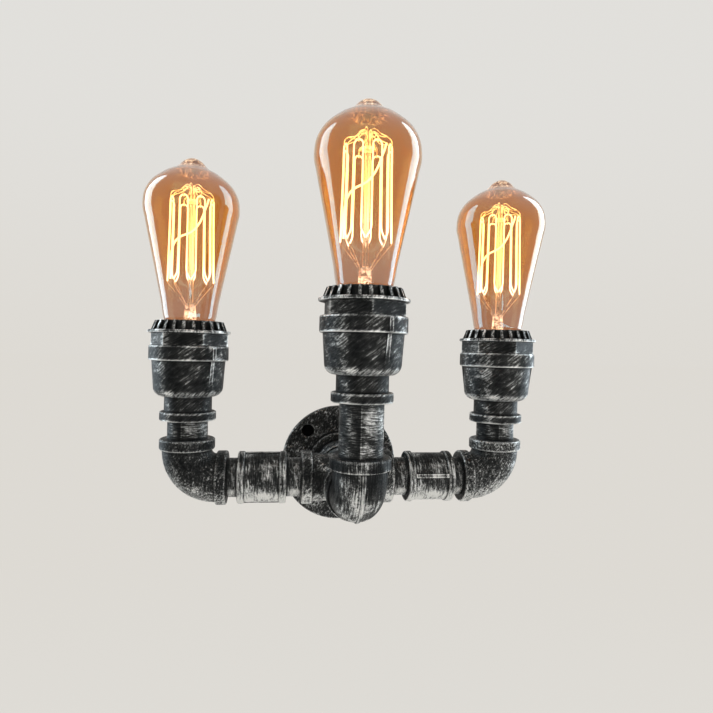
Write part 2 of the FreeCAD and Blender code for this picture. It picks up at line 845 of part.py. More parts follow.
def glass_section(body, name, inset, foot, dome_foot):
    """Half the bulb's section: neck, flared throat, long taper, and dome, set in by a wall."""
    throat_z = sz.cap_height + sz.throat_rise
    neck = glass_neck_r - inset
    throat = glass_neck_r + sz.throat_flare - inset
    dome = sz.dome_radius - inset
    crown = dome_centre_z + dome
    neck_top = sz.cap_height + sz.neck_rise
    centre = Vector(dome_centre_r.number, dome_centre_z.number, 0)
    lean = math.radians(11)
    touch = centre + Vector(math.cos(lean), -math.sin(lean), 0) * dome.number
    spots = [
        Vector(0, foot.number, 0),
        Vector(neck.number, foot.number, 0),
        Vector(neck.number, neck_top.number, 0),
        Vector(throat.number, throat_z.number, 0),
        touch,
    ]
    sketch = new_sketch(body, "XZ_Plane", name)
    for start, end in zip(spots, spots[1:]):
        sketch.addGeometry(Part.LineSegment(start, end))
    round_dome = Part.Circle(centre, Vector(0, 0, 1), dome.number)
    sketch.addGeometry(Part.ArcOfCircle(round_dome, -lean, math.pi / 2))
    over = Vector(dome_centre_r.number, crown.number, 0)
    sketch.addGeometry(Part.LineSegment(over, Vector(0, crown.number, 0)))
    sketch.addGeometry(Part.LineSegment(Vector(0, crown.number, 0), spots[0]))
    for index in range(3):
        sketch.addConstraint(Sketcher.Constraint("Coincident", index, 2, index + 1, 1))
    sketch.addConstraint(Sketcher.Constraint("Tangent", 3, 2, 4, 1))
    sketch.addConstraint(Sketcher.Constraint("Coincident", 4, 2, 5, 1))
    sketch.addConstraint(Sketcher.Constraint("Coincident", 5, 2, 6, 1))
    sketch.addConstraint(Sketcher.Constraint("Coincident", 6, 2, 0, 1))
    pin(sketch, 0, 1, ZERO, foot)
    pin(sketch, 1, 1, neck, foot)
    pin(sketch, 2, 1, neck, neck_top)
    pin(sketch, 3, 1, throat, throat_z)
    pin(sketch, 4, 3, dome_centre_r, dome_centre_z)
    bind(sketch, Sketcher.Constraint("Radius", 4, dome.number), dome)
    bind(sketch, Sketcher.Constraint("DistanceX", -1, 1, 5, 1, over.x), dome_centre_r)
    pin(sketch, 6, 1, ZERO, dome_foot)
    return sketch


def bulb_glass(name, across, depth, seat):
    """The clear envelope: a hollow turned shape with the sealed pip on its crown."""
    body = new_body(name)
    foot = sz.cap_height - sz.glass_skirt
    turn_section(body, "Outside", glass_section(body, "OutsideSection", ZERO, foot, dome_top))
    pip_foot = sz.pip_foot_od / 2
    pip_head = sz.pip_head_od / 2
    low = dome_top - sz.glass_wall / 2
    high = sz.bulb_length
    pip = [(ZERO, low), (pip_foot, low), (pip_foot, dome_top), (pip_head, high), (ZERO, high)]
    turned(body, "Pip", pip)
    rounded(body, "PipFoot", "Fillet", sz.pip_foot_round, circle_at(pip_foot, dome_top))
    rounded(body, "PipHead", "Fillet", sz.pip_head_round, circle_at(pip_head, high))
    hollow = glass_section(
        body, "HollowSection", sz.glass_wall, foot - 1, dome_top - sz.glass_wall
    )
    turn_section(body, "Hollow", hollow, cut=True)
    place(body, across, depth, seat)


def bulb_cap(lamp, across, depth, seat):
    """The screw cap: shell, black insulator and centre contact."""
    shell = new_body(f"{lamp}_bulb_cap_shell")
    foot = sz.cap_shell_foot
    section = [
        (cap_bore_r - sz.cap_taper, foot),
        (cap_r - sz.cap_taper, foot),
        (cap_r, foot + sz.cap_taper),
        (cap_r, sz.cap_height),
        (cap_bore_r, sz.cap_height),
        (cap_bore_r, foot + sz.cap_taper),
    ]
    turned(shell, "Shell", section)
    place(shell, across, depth, seat)
    insulator = new_body(f"{lamp}_bulb_cap_insulator")
    tip_r = sz.cap_tip_od / 2
    cone = [
        (ZERO, sz.cap_tip_height),
        (tip_r + sz.cap_wall, sz.cap_tip_height),
        (cap_bore_r - sz.cap_taper, foot),
        (ZERO, foot),
    ]
    turned(insulator, "Cone", cone)
    place(insulator, across, depth, seat)
    contact = new_body(f"{lamp}_bulb_cap_contact")
    button = [
        (ZERO, ZERO),
        (tip_r - sz.cap_taper, ZERO),
        (tip_r, sz.cap_tip_height),
        (ZERO, sz.cap_tip_height),
    ]
    turned(contact, "Button", button)
    place(contact, across, depth, seat)


def bulb_stem(name, across, depth, seat):
    """The glass mount: flare, press, hub, rod and the button that carries the spider."""
    body = new_body(name)
    flare_foot = sz.cap_height - sz.glass_skirt
    hub = sz.stem_hub_height
    hub_r = sz.stem_hub_od / 2
    rod_r = sz.stem_rod_od / 2
    section = [
        (ZERO, flare_foot),
        (glass_neck_r - sz.glass_wall - sz.flare_gap, flare_foot),
        (hub_r + sz.glass_wall, flare_foot + sz.flare_height),
        (hub_r, hub),
        (rod_r, hub + sz.button_height),
        (rod_r, cage_head - sz.button_height),
        (sz.button_od / 2, cage_head - sz.button_height),
        (sz.button_od / 2, cage_head),
        (ZERO, cage_head),
    ]
    turned(body, "Mount", section)
    place(body, across, depth, seat)


def bar(points, width):
    """A square wire bent sharply through a list of points."""
    path = Part.makePolygon(points)
    heading = points[1] - points[0]
    side = heading.cross(Vector(0, 0, 1))
    if side.Length < 0.01:
        side = Vector(1, 0, 0)
    side.normalize()
    other = heading.cross(side).normalize()
    half = width / 2
    signs = ((-1, -1), (1, -1), (1, 1), (-1, 1), (-1, -1))
    corners = [points[0] + side * (half * one) + other * (half * two) for one, two in signs]
    section = Part.makePolygon(corners)
    return path.makePipeShell([section], True, True, 1)


def around(radius, angle, height):
    """A point at a radius, a turn in degrees and a height."""
    turn = math.radians(angle)
    return Vector(radius * math.cos(turn), radius * math.sin(turn), height)


def bulb_filament(name, across, depth, seat):
    """The cage: one wire that runs up and down between the two rings of supports."""
    foot_r = sz.cage_foot_od.number / 2
    head_r = sz.cage_head_od.number / 2
    foot = sz.cage_foot_height.number
    head = cage_head.number
    strands = int(sz.cage_strands.number)
    pitch = 360 / strands
    points = []
    for strand in range(strands):
        low = around(foot_r, strand * pitch, foot)
        high = around(head_r, strand * pitch, head)
        points += [low, high] if strand % 2 == 0 else [high, low]
    feature = doc.addObject("Part::Feature", name)
    feature.Label = name
    feature.Shape = bar(points, sz.filament_width.number)
    place(feature, across, depth, seat)


def bulb_supports(name, across, depth, seat):
    """The fine wires that hold the cage: a spider above the button and struts from the hub."""
    width = sz.support_width.number
    gap = sz.support_gap.number + width
    head = cage_head.number
    hub = sz.stem_hub_height.number
    reach = sz.spider_reach.number
    count = int(sz.spider_count.number)
    wires = []
    for index in range(count):
        head_turn = (index + 0.25) * 360 / count
        apex = head + sz.spider_rise.number
        hook = around(sz.cage_head_od.number / 2 - gap, head_turn, head + gap)
        spider = [around(reach, head_turn, head), around(reach, head_turn, apex), hook]
        wires.append(bar(spider, width))
        foot_turn = (index + 0.75) * 360 / count
        low = around(sz.stem_hub_od.number / 2 + width / 2, foot_turn, hub - 2)
        strut = [low, around(sz.cage_foot_od.number / 2 - gap, foot_turn, sz.cage_foot_height.number)]
        wires.append(bar(strut, width))
    feature = doc.addObject("Part::Feature", name)
    feature.Label = name
    feature.Shape = Part.makeCompound(wires)
    place(feature, across, depth, seat)


def bulbs():
    """One bulb in each lamp holder."""
    for name, across, depth, lift in LAMPS:
        seat = bell_foot + lift + bulb_seat
        bulb_glass(f"{name}_bulb_glass", across, depth, seat)
        bulb_cap(name, across, depth, seat)
        bulb_stem(f"{name}_bulb_stem", across, depth, seat)
        bulb_filament(f"{name}_bulb_filament", across, depth, seat)
        bulb_supports(f"{name}_bulb_supports", across, depth, seat)


# ---------------------------------------------------------------- wiring


def tangent_path(points, radii):
    """Straight runs joined by tangent arcs, one radius for each inner point."""
    edges = []
    start = points[0]
    for before, corner, after, radius in zip(points, points[1:], points[2:], radii):
        into = (corner - before).normalize()
        out = (after - corner).normalize()
        turn = into.getAngle(out)
        back = radius * math.tan(turn / 2)
        first = corner - into * back
        last = corner + out * back
        inward = (out - into).normalize()
        middle = corner + inward * (radius / math.cos(turn / 2) - radius)
        edges.append(Part.makeLine(start, first))
        edges.append(Part.Arc(first, middle, last).toShape())
        start = last
    edges.append(Part.makeLine(start, points[-1]))
    return Part.Wire(edges)


def insulated_wire(points, radii, width):
    """One insulated wire of hexagonal section along a route."""
    path = tangent_path(points, radii)
    hexagon = [around(width / 2, 60 * step, 0) + points[0] for step in range(7)]
    return path.makePipeShell([Part.makePolygon(hexagon)], True, False)


def lamp_wires(lamp, axis_x, axis_y, lift):
    """Two wires from the lamp holder down the riser, through the elbow and out to the wall."""
    width = sz.wire_od.number
    pitch = sz.wire_pitch.number
    spread = sz.wire_spread.number
    foot = (bell_foot + lift).number
    terminal = foot + (socket_foot + sz.wire_hole_depth - sz.wire_end_gap).number
    splay_top = foot + (socket_foot - sz.wire_splay_start).number
    splay_low = foot + sz.thread_depth.number
    splay_bend = sz.wire_splay_bend.number
    tail = -sz.wire_tail.number
    sideways = 1 if lamp == "middle" else 0
    inward = 0 if lamp == "middle" else -math.copysign(1, axis_x.number)
    wires = []
    for side in (-1, 1):
        near = side * pitch / 2
        wide = side * spread

        def at(offset, height):
            across = axis_x.number + offset * sideways
            return Vector(across, axis_y.number + offset * (1 - sideways), height)

        points = [at(wide, terminal), at(wide, splay_top), at(near, splay_low), at(near, 0)]
        radii = [splay_bend, splay_bend, elbow_bend.number]
        if lamp != "middle":
            row_x = -inward * (2 * pitch + near)
            points.append(Vector(row_x, axis_y.number + near, 0))
            radii.append(sz.wire_bend.number)
        points.append(Vector(points[-1].x, tail, 0))
        wires.append(insulated_wire(points, radii, width))
    name = f"{lamp}_lamp_wires"
    feature = doc.addObject("Part::Feature", name)
    feature.Label = name
    feature.Shape = Part.makeCompound(wires)


def wiring():
    """The pair of wires of each lamp."""
    for name, across, depth, lift in LAMPS:
        lamp_wires(name, across, depth, lift)


# ---------------------------------------------------------------- build, test and write


def sub_parts():
    """Every object that is a sub-part: the bodies and the free-form features."""
    kinds = ("PartDesign::Body", "Part::Feature")
    return [item for item in doc.Objects if item.TypeId in kinds]


def test_document():
    """Stops if any object failed to compute or any sub-part isn't a valid shape."""
    for item in doc.Objects:
        if "Invalid" in item.State or "Error" in item.State:
            raise RuntimeError(f"{item.Label} of {item.TypeId} failed: {item.State}")
    for piece in sub_parts():
        if piece.Shape.isNull() or not piece.Shape.isValid():
            raise RuntimeError(f"{piece.Label} has no valid shape")


def write_parts():
    """Writes one file for each sub-part and prints its size."""
    os.makedirs("parts", exist_ok=True)
    for piece in sub_parts():
        piece.Shape.exportStep(f"parts/{piece.Label}.step")
        print(f"{piece.Label}: {len(piece.Shape.Solids)} solid(s), {piece.Shape.Volume:.1f} mm3")


pipework()
lamp_stacks()
bulbs()
wiring()
doc.recompute()
test_document()
write_parts()
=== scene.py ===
# %% [markdown]
# # A three-lamp pipe wall light
#
# The light is made of threaded pipe and cast fittings, painted black and
# dry-brushed with silver, with three amber filament bulbs. The CAD model
# gives every casting, pipe, ring and bulb its size and place. This lesson
# adds the looks: the camera, the light, the finishes, the castings' parting
# lines, and the bulbs' glass and wires, which are easier to draw in Blender.

# %% Load the frame
import math

import bpy
from mathutils import Matrix, Vector


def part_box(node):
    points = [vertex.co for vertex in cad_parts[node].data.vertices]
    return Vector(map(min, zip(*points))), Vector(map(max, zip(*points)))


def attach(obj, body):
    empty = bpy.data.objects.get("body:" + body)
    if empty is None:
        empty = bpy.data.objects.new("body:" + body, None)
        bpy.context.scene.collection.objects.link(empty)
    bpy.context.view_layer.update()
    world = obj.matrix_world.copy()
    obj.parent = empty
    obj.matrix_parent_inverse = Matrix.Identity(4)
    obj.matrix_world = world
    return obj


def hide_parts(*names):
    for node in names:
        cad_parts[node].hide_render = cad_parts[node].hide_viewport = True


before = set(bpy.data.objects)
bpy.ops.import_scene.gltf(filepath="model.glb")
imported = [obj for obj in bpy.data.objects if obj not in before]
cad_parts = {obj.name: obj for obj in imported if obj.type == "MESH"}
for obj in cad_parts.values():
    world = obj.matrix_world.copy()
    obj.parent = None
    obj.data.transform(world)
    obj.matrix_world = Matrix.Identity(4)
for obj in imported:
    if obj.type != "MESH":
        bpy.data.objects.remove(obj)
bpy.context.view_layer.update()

bpy.context.scene.view_settings.view_transform = "Standard"
MM = 0.001
UP = Vector((0, 0, 1))
LAMPS = ("left", "middle", "right")
print(f"{len(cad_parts)} parts from the CAD model")

# %% [markdown]
# ## The camera
#
# A camera looks along its own -Z axis with +Y up. The photograph was taken
# from a little left of the middle lamp and level with the bulbs' sockets,
# close to the light, so the lamps differ in size. Its lens is worked out
# from a focal length measured in picture widths.

# %% Place the camera
FOCAL_LENGTH = 540 / 713  # in picture widths
SENSOR_WIDTH = 36
NEAR_CLIP = 0.01
CAMERA_PLACE = Vector((-48.03, -434.19, 89.43)) * MM
CAMERA_RIGHT = Vector((0.9901, -0.1385, 0.0241))
CAMERA_UP = Vector((-0.0225, 0.0133, 0.9997))

bpy.ops.object.camera_add()
camera = bpy.context.object
camera.data.sensor_width = SENSOR_WIDTH
camera.data.lens = FOCAL_LENGTH * SENSOR_WIDTH
camera.data.clip_start = NEAR_CLIP
camera_back = CAMERA_RIGHT.cross(CAMERA_UP).normalized()
camera_top = camera_back.cross(CAMERA_RIGHT).normalized()
turned = Matrix((CAMERA_RIGHT.normalized(), camera_top, camera_back)).transposed()
camera.matrix_world = Matrix.Translation(CAMERA_PLACE) @ turned.to_4x4()
bpy.context.scene.camera = camera
print(f"lens {camera.data.lens:.1f} mm")

# %% [markdown]
# ## Building materials from nodes
#
# A material is a small graph. These helpers keep each line short: one fills
# a node's sockets by name or number, one adds a node, and the others do sums,
# mix colours and make noise.


# %% Node helpers
def fill(tree, node, sockets):
    """Fills a node's sockets with plain values, or by links from other sockets."""
    for name, value in sockets.items():
        if isinstance(value, bpy.types.NodeSocket):
            tree.links.new(value, node.inputs[name])
        else:
            node.inputs[name].default_value = value


def add(tree, kind, sockets=None, **settings):
    """A node of this kind, with its settings made and its sockets filled."""
    node = tree.nodes.new(kind)
    for name, value in settings.items():
        setattr(node, name, value)
    fill(tree, node, sockets or {})
    return node


def sums(tree, operation, *values):
    """The result of one sum on sockets or numbers."""
    node = add(tree, "ShaderNodeMath", dict(enumerate(values)), operation=operation)
    return node.outputs[0]


def vectors(tree, operation, *values):
    """The result of one sum on vectors. A length or a dot product is a number."""
    node = add(tree, "ShaderNodeVectorMath", dict(enumerate(values)), operation=operation)
    return node.outputs["Value" if operation in ("LENGTH", "DOT_PRODUCT") else "Vector"]


def height_of(tree, vector):
    """The upward part of a vector."""
    return add(tree, "ShaderNodeSeparateXYZ", {0: vector}).outputs["Z"]


def ramp(tree, value, low, high, to_low=0.0, to_high=1.0):
    """Value from low to high made to run smoothly from to_low to to_high."""
    sockets = {
        "Value": value,
        "From Min": low,
        "From Max": high,
        "To Min": to_low,
        "To Max": to_high,
    }
    node = add(tree, "ShaderNodeMapRange", sockets, interpolation_type="SMOOTHSTEP")
    return node.outputs["Result"]


def noise(tree, vector, scale, detail=2.0, roughness=0.5, distortion=0.0):
    """Soft random grey, from 0 to 1, about half on average."""
    sockets = {
        "Vector": vector,
        "Scale": scale,
        "Detail": detail,
        "Roughness": roughness,
        "Distortion": distortion,
    }
    return add(tree, "ShaderNodeTexNoise", sockets).outputs["Fac"]


def blend_colours(tree, amount, first, second):
    """A colour between two, by an amount from 0 to 1."""
    # a Mix node keeps its colours in sockets 6 and 7, after those for numbers and vectors
    node = add(tree, "ShaderNodeMix", {0: amount, 6: first, 7: second}, data_type="RGBA")
    return node.outputs[2]


# %% Material helpers
def empty_tree(owner):
    """The emptied node tree of a world or a material."""
    owner.use_nodes = True
    owner.node_tree.nodes.clear()
    return owner.node_tree


def new_material(name):
    """A material, its tree, and the shader that its surface ends in."""
    material = bpy.data.materials.new(name)
    tree = empty_tree(material)
    shader = add(tree, "ShaderNodeBsdfPrincipled")
    add(tree, "ShaderNodeOutputMaterial", {"Surface": shader.outputs[0]})
    return material, tree, shader


def shader_of(material):
    """The shader of a material that is made already."""
    return material.node_tree.nodes["Principled BSDF"]


def millimetres(tree, centre=(0, 0, 0)):
    """The place on the object, in mm, counted from a centre in metres."""
    place = add(tree, "ShaderNodeTexCoord").outputs["Object"]
    shifted = vectors(tree, "SUBTRACT", place, tuple(centre))
    return vectors(tree, "MULTIPLY", shifted, (1 / MM, 1 / MM, 1 / MM))


def paint(names, material):
    """Gives CAD nodes this material on every slot."""
    for name in names:
        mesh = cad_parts[name].data
        mesh.materials.clear()
        mesh.materials.append(material)


# %% [markdown]
# ## The stage
#
# The photograph shows a plain pale wall, evenly lit. A real wall behind the
# light would hide its back from the other views, so the pale ground is the
# world's own colour, with a pale floor far below that keeps a soft shadow.
# The world looks like that ground to the camera and in reflections, and it
# lights the object more weakly, so that the lamps give the shape.

# %% The world
GROUND = (0.725, 0.700, 0.655, 1)
GROUND_HIGH = (0.755, 0.742, 0.712, 1)
PALING = (-0.1, 0.45)  # the ground pales between these heights of the view's direction
SKY_LIGHT = 0.6


def seen_directly(tree):
    """1 where the camera, a reflection or clear glass shows the surface, and 0 for its light."""
    path = add(tree, "ShaderNodeLightPath").outputs
    seen = sums(tree, "MAXIMUM", path["Is Camera Ray"], path["Is Transmission Ray"])
    return sums(tree, "MAXIMUM", seen, path["Is Glossy Ray"])


world = bpy.data.worlds.new("studio")
bpy.context.scene.world = world
tree = empty_tree(world)
sky = add(tree, "ShaderNodeBackground", {"Color": GROUND, "Strength": SKY_LIGHT})
outlook = height_of(tree, add(tree, "ShaderNodeTexCoord").outputs["Generated"])
shade = blend_colours(tree, ramp(tree, outlook, *PALING), GROUND, GROUND_HIGH)
ground = add(tree, "ShaderNodeBackground", {"Color": shade, "Strength": 1.0})
mixed = {0: seen_directly(tree), 1: sky.outputs[0], 2: ground.outputs[0]}
both = add(tree, "ShaderNodeMixShader", mixed)
add(tree, "ShaderNodeOutputWorld", {"Surface": both.outputs[0]})
print("sky light", SKY_LIGHT)

# %% The floor
FLOOR_DROP = 0.42
FLOOR_SIZE = 60
FLOOR_GREY = (0.75, 0.74, 0.72, 1)
SHADOW_REACH = (0.2, 1.1)  # metres from the middle over which the shadow fades
SHADOW_FADE = (0.93, 1.0)

bpy.ops.object.select_all(action="DESELECT")
bpy.ops.mesh.primitive_plane_add(size=FLOOR_SIZE, location=(0, 0, -FLOOR_DROP))
floor = bpy.context.object
floor.name = "floor"
material = bpy.data.materials.new("floor")
tree = empty_tree(material)
away = vectors(tree, "LENGTH", add(tree, "ShaderNodeTexCoord").outputs["Object"])
fade = ramp(tree, away, *SHADOW_REACH, *SHADOW_FADE)
matt = add(tree, "ShaderNodeBsdfDiffuse", {"Color": FLOOR_GREY})
even = add(tree, "ShaderNodeEmission", {"Color": GROUND, "Strength": 1.0})
plainly = sums(tree, "MULTIPLY", seen_directly(tree), fade)
both = add(tree, "ShaderNodeMixShader", {0: plainly, 1: matt.outputs[0], 2: even.outputs[0]})
add(tree, "ShaderNodeOutputMaterial", {"Surface": both.outputs[0]})
floor.data.materials.append(material)
print("floor at", -FLOOR_DROP)


# %% [markdown]
# ## The lamps
#
# Two tall soft boxes stand at the sides, a little behind the light. They
# draw the long white streaks near both edges of each bulb, and the pale
# edges of the pipes. A wide soft box above the camera is the main light, and
# a low one lifts the undersides, which the photograph shows bright.


# %% Soft boxes
SIDE_PLACES = {"left_box": (-1.15, 0.38, 0.35), "right_box": (1.15, 0.28, 0.35)}
SIDE_AIM = (0, -0.08, 0.25)
SIDE_BOX = {"width": 0.64, "height": 2.6, "power": 22, "shape": "ELLIPSE"}
SIDE_TINT = (0.74, 0.89, 1.0)
MAIN_PLACE, MAIN_AIM = (-0.6, -1.5, 1.3), (0, -0.07, 0.08)
LOW_PLACE, LOW_AIM = (0.45, -0.75, -0.42), (0, -0.07, 0.0)


def soft_box(name, place, aim, width, height, power, shape="RECTANGLE"):
    """An area lamp at a place, turned to face the aim."""
    bpy.ops.object.light_add(type="AREA", location=place)
    lamp = bpy.context.object
    lamp.name = name
    lamp.data.shape = shape
    lamp.data.size = width
    lamp.data.size_y = height
    lamp.data.energy = power
    direction = Vector(aim) - Vector(place)
    lamp.rotation_euler = direction.to_track_quat("-Z", "Y").to_euler()
    return lamp


for name, place in SIDE_PLACES.items():
    side_box = soft_box(name, place, SIDE_AIM, **SIDE_BOX)
    side_box.data.color = SIDE_TINT
main_box = soft_box("main_box", MAIN_PLACE, MAIN_AIM, width=1.6, height=1.2, power=17)
main_box.visible_glossy = False
soft_box("low_box", LOW_PLACE, LOW_AIM, width=1.3, height=0.5, power=9)
print("4 soft boxes")

# %% [markdown]
# ## Dry-brushed iron
#
# The castings and pipes are painted black, and then a nearly dry brush of
# silver is dragged over them. Silver catches on edges and raised grain, and
# misses the hollows. The finish is built the same way: a charcoal base, and a
# mask of silver made of long brush strokes, speckle, and edges found by looking
# inwards from the surface. The same mask carries painted light: a painted
# highlight on faces that look down, as if lit from below, a painted lighter side
# to the right of a riser's seam, and a painted highlight along the crest of the
# front elbow. The mask is held back in the hollows, where the brush can't reach,
# and that darkening is painted shade too.


# %% Brush directions
def round_axis(tree, place, axis, radius):
    """Coordinates that run round an axis, as if every point were at this radius."""
    across = tuple(0.0 if name == axis else 1.0 for name in "XYZ")
    along = tuple(1.0 - value for value in across)
    ring = vectors(tree, "NORMALIZE", vectors(tree, "MULTIPLY", place, across))
    ring = vectors(tree, "MULTIPLY", ring, (radius,) * 3)
    return vectors(tree, "ADD", ring, vectors(tree, "MULTIPLY", place, along))


def drawn_out(tree, vector, lengths, turn=(0, 0, 0)):
    """Coordinates turned, and drawn out to lengths in mm, so that noise makes strokes."""
    sockets = {"Vector": vector, "Rotation": turn, "Scale": lengths}
    return add(tree, "ShaderNodeMapping", sockets, vector_type="TEXTURE").outputs[0]


# %% Edges, hollows and seams
EDGE_REACH = 2.0 * MM
EDGE_LOOKS = 8
EDGE_FOUND = (0.06, 0.34)
HOLLOW_REACH = 9.0 * MM
CREASE_REACH = 2.2 * MM
HOLLOW_LOOKS = 6
HOLLOW_HOLD = (0.3, 0.95, 0.35, 1.0)
CREASE_HOLD = (0.55, 0.9, 0.15, 1.0)
SEAM_SIDE = (0.988, -0.151, 0)  # a casting's seam faces a little left of the front
SEAM_LINE, SEAM_SILVER = (0.15, 0.5), 0.6  # mm from the seam over which its bright line ends
SEAM_STEP, RIGHT_SIDE_LIGHT = 0.4, 0.22  # mm each side of the seam over which the right side is painted lighter, as if lit from the right
CREST, CREST_HIGHLIGHT = (1.0, 11.0), 0.3  # mm from the seam over which a painted highlight along the crest turns to painted shade at the sides


def free_air(tree, reach, looks, **settings):
    """How little stands within reach of the surface, from 0 to 1."""
    sockets = {"Distance": reach}
    node = add(tree, "ShaderNodeAmbientOcclusion", sockets, samples=looks, **settings)
    return node.outputs["AO"]


def found_edges(tree):
    """1 on sharp edges, where little of the piece itself lies behind the surface."""
    solid = free_air(tree, EDGE_REACH, EDGE_LOOKS, inside=True, only_local=True)
    return ramp(tree, sums(tree, "SUBTRACT", 1.0, solid), *EDGE_FOUND)


def reached_and_unshaded(tree):
    """1 in the open, and less in hollows and creases, where a brush can't reach; this is also
    painted shade there.
    """
    hollow = ramp(tree, free_air(tree, HOLLOW_REACH, HOLLOW_LOOKS), *HOLLOW_HOLD)
    crease = ramp(tree, free_air(tree, CREASE_REACH, HOLLOW_LOOKS), *CREASE_HOLD)
    return sums(tree, "MULTIPLY", hollow, crease)


def along_seam(tree, flat, seam, crest):
    """More silver on the seam, where the brush catches it, and painted light: the seam's right
    side lighter, and a highlight along the crest of a bend that darkens towards its sides.
    """
    side = vectors(tree, "DOT_PRODUCT", flat, SEAM_SIDE)
    from_seam = sums(tree, "ABSOLUTE", side)
    line = ramp(tree, from_seam, *SEAM_LINE, SEAM_SILVER * seam, 0.0)
    # painted light: the seam's right side lighter, and a highlight along the crest of a bend
    step, crest_light = RIGHT_SIDE_LIGHT * seam, CREST_HIGHLIGHT * crest
    lit_right_half = ramp(tree, side, -SEAM_STEP, SEAM_STEP, -step, step)
    middle = ramp(tree, from_seam, *CREST, crest_light, -crest_light)
    return sums(tree, "ADD", middle, sums(tree, "ADD", line, lit_right_half))


# %% The iron itself
CHARCOAL = (0.0042, 0.0048, 0.0050, 1)
CHARCOAL_WORN = (0.0175, 0.0180, 0.0165, 1)
SILVER = (0.745, 0.745, 0.725, 1)
STROKE_CONTRAST = 2.4
BRUSH_MARKS = {"scale": 1.0, "detail": 6.0, "roughness": 0.72, "distortion": 0.35}
CLUMPS = {"scale": 0.085, "detail": 3.0, "roughness": 0.6}
DOTS = {"scale": 0.95, "detail": 4.0, "roughness": 0.75}
UNDERSIDE_LIGHT = (-0.02, -0.62)  # the normal's heights at which the painted highlight on an underside begins and is full
WORN = (0.0, 0.6)
SILVERED = (0.26, 1.0)
SILVER_SHARPNESS = 1.5
SILVER_METAL = 0.9
IRON_ROUGHNESS = (0.5, 0.33)
IRON_GLOSS = (-0.4, 0.5, 0.02, 0.22)
BRUSH_BUMP = {"Strength": 0.6, "Distance": 0.3 * MM}


def iron(
    name, strokes, place,
    amount=0.5, speckle=0.5, edges=1.0, under=0.5, clumps=1.7, seam=0.0, crest=0.0,
):
    """The dry-brushed paint. strokes and place are functions that give a tree coordinates.

    amount is how much silver there is. speckle and clumps are how uneven it is on a small
    and a large scale, and edges and seam are how much more there is on edges and a seam.
    seam also paints the right side of the seam lighter, and under and crest paint a
    highlight on faces that look down and along the middle of a bend.
    """
    material, tree, shader = new_material(name)
    flat = place(tree)
    fine = noise(tree, strokes(tree), **BRUSH_MARKS)
    wide = noise(tree, flat, **CLUMPS)
    dots = noise(tree, flat, **DOTS)
    normal = add(tree, "ShaderNodeNewGeometry").outputs["Normal"]
    below = ramp(tree, height_of(tree, normal), *UNDERSIDE_LIGHT)

    # one sum of everything that the brush catches and of the painted light, sharpened to a mask of
    # silver
    catch_and_light = sums(tree, "MULTIPLY_ADD", fine, STROKE_CONTRAST, -STROKE_CONTRAST / 2)
    for pattern, share in ((wide, clumps), (dots, speckle)):
        uneven = sums(tree, "SUBTRACT", pattern, 0.5)
        catch_and_light = sums(tree, "MULTIPLY_ADD", uneven, share, catch_and_light)
    catch_and_light = sums(tree, "MULTIPLY_ADD", found_edges(tree), 0.5 * edges, catch_and_light)
    # painted highlight: more silver on faces that look down, as if lit from below
    catch_and_light = sums(tree, "MULTIPLY_ADD", below, 0.5 * under, catch_and_light)
    catch_and_light = sums(tree, "ADD", catch_and_light, along_seam(tree, flat, seam, crest))
    catch_and_light = sums(tree, "ADD", catch_and_light, amount)
    # painted shade: less silver in hollows, creases and between parts, as well as where the brush
    # misses
    catch_and_light = sums(tree, "MULTIPLY", catch_and_light, reached_and_unshaded(tree))
    silver_and_light = sums(tree, "POWER", ramp(tree, catch_and_light, *SILVERED), SILVER_SHARPNESS)

    worn = blend_colours(tree, ramp(tree, catch_and_light, *WORN), CHARCOAL, CHARCOAL_WORN)
    bumps = {"Height": sums(tree, "MULTIPLY_ADD", fine, 0.5, dots), **BRUSH_BUMP}
    finish = {
        "Base Color": blend_colours(tree, silver_and_light, worn, SILVER),
        "Metallic": sums(tree, "MULTIPLY", silver_and_light, SILVER_METAL),
        "Roughness": ramp(tree, silver_and_light, 0.0, 1.0, *IRON_ROUGHNESS),
        "Specular IOR Level": ramp(tree, catch_and_light, *IRON_GLOSS),
        "Normal": add(tree, "ShaderNodeBump", bumps).outputs[0],
    }
    fill(tree, shader, finish)
    return material


# %% Three ways to brush
PIPE_RADIUS = 13.0
STROKE, STROKE_WIDTH = 5.0, 0.75
SLANTING_STROKE = (0.8, 3.0, 8.0)
DAB, DAB_TURN = (1.1, 1.3, 2.2), (0, 0.5, 0)


def middle_of(name):
    """The middle of a CAD node's box, in metres."""
    low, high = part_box(name)
    return (low + high) / 2


def counted_from(centre):
    """A function that gives a tree coordinates in mm, counted from a centre."""
    return lambda tree: millimetres(tree, centre)


def brushed_round(name, axis, centre, **kind):
    """Iron whose strokes run round an axis through a centre."""

    def strokes(tree):
        ring = round_axis(tree, millimetres(tree, centre), axis, PIPE_RADIUS)
        lengths = tuple(STROKE_WIDTH if letter == axis else STROKE for letter in "XYZ")
        return drawn_out(tree, ring, lengths)

    return iron(name, strokes, counted_from(centre), **kind)


def brushed_slanting(name, slant, centre, **kind):
    """Iron whose strokes slant up to the right at an angle."""

    def strokes(tree):
        turn = (0, math.radians(slant), 0)
        return drawn_out(tree, millimetres(tree, centre), SLANTING_STROKE, turn)

    return iron(name, strokes, counted_from(centre), **kind)


def speckled(name, centre, **kind):
    """Iron dabbed with the brush's end, with hardly any direction."""

    def strokes(tree):
        return drawn_out(tree, millimetres(tree, centre), DAB, DAB_TURN)

    return iron(name, strokes, counted_from(centre), **kind)


# %% [markdown]
# Each part gets the direction in which a hand would brush it: round the
# pipes and bands, slanting across the bells, and dabbed on the castings. The
# front elbow is brushed round its bend. The amounts differ a little from
# part to part, because such a finish is done by hand.

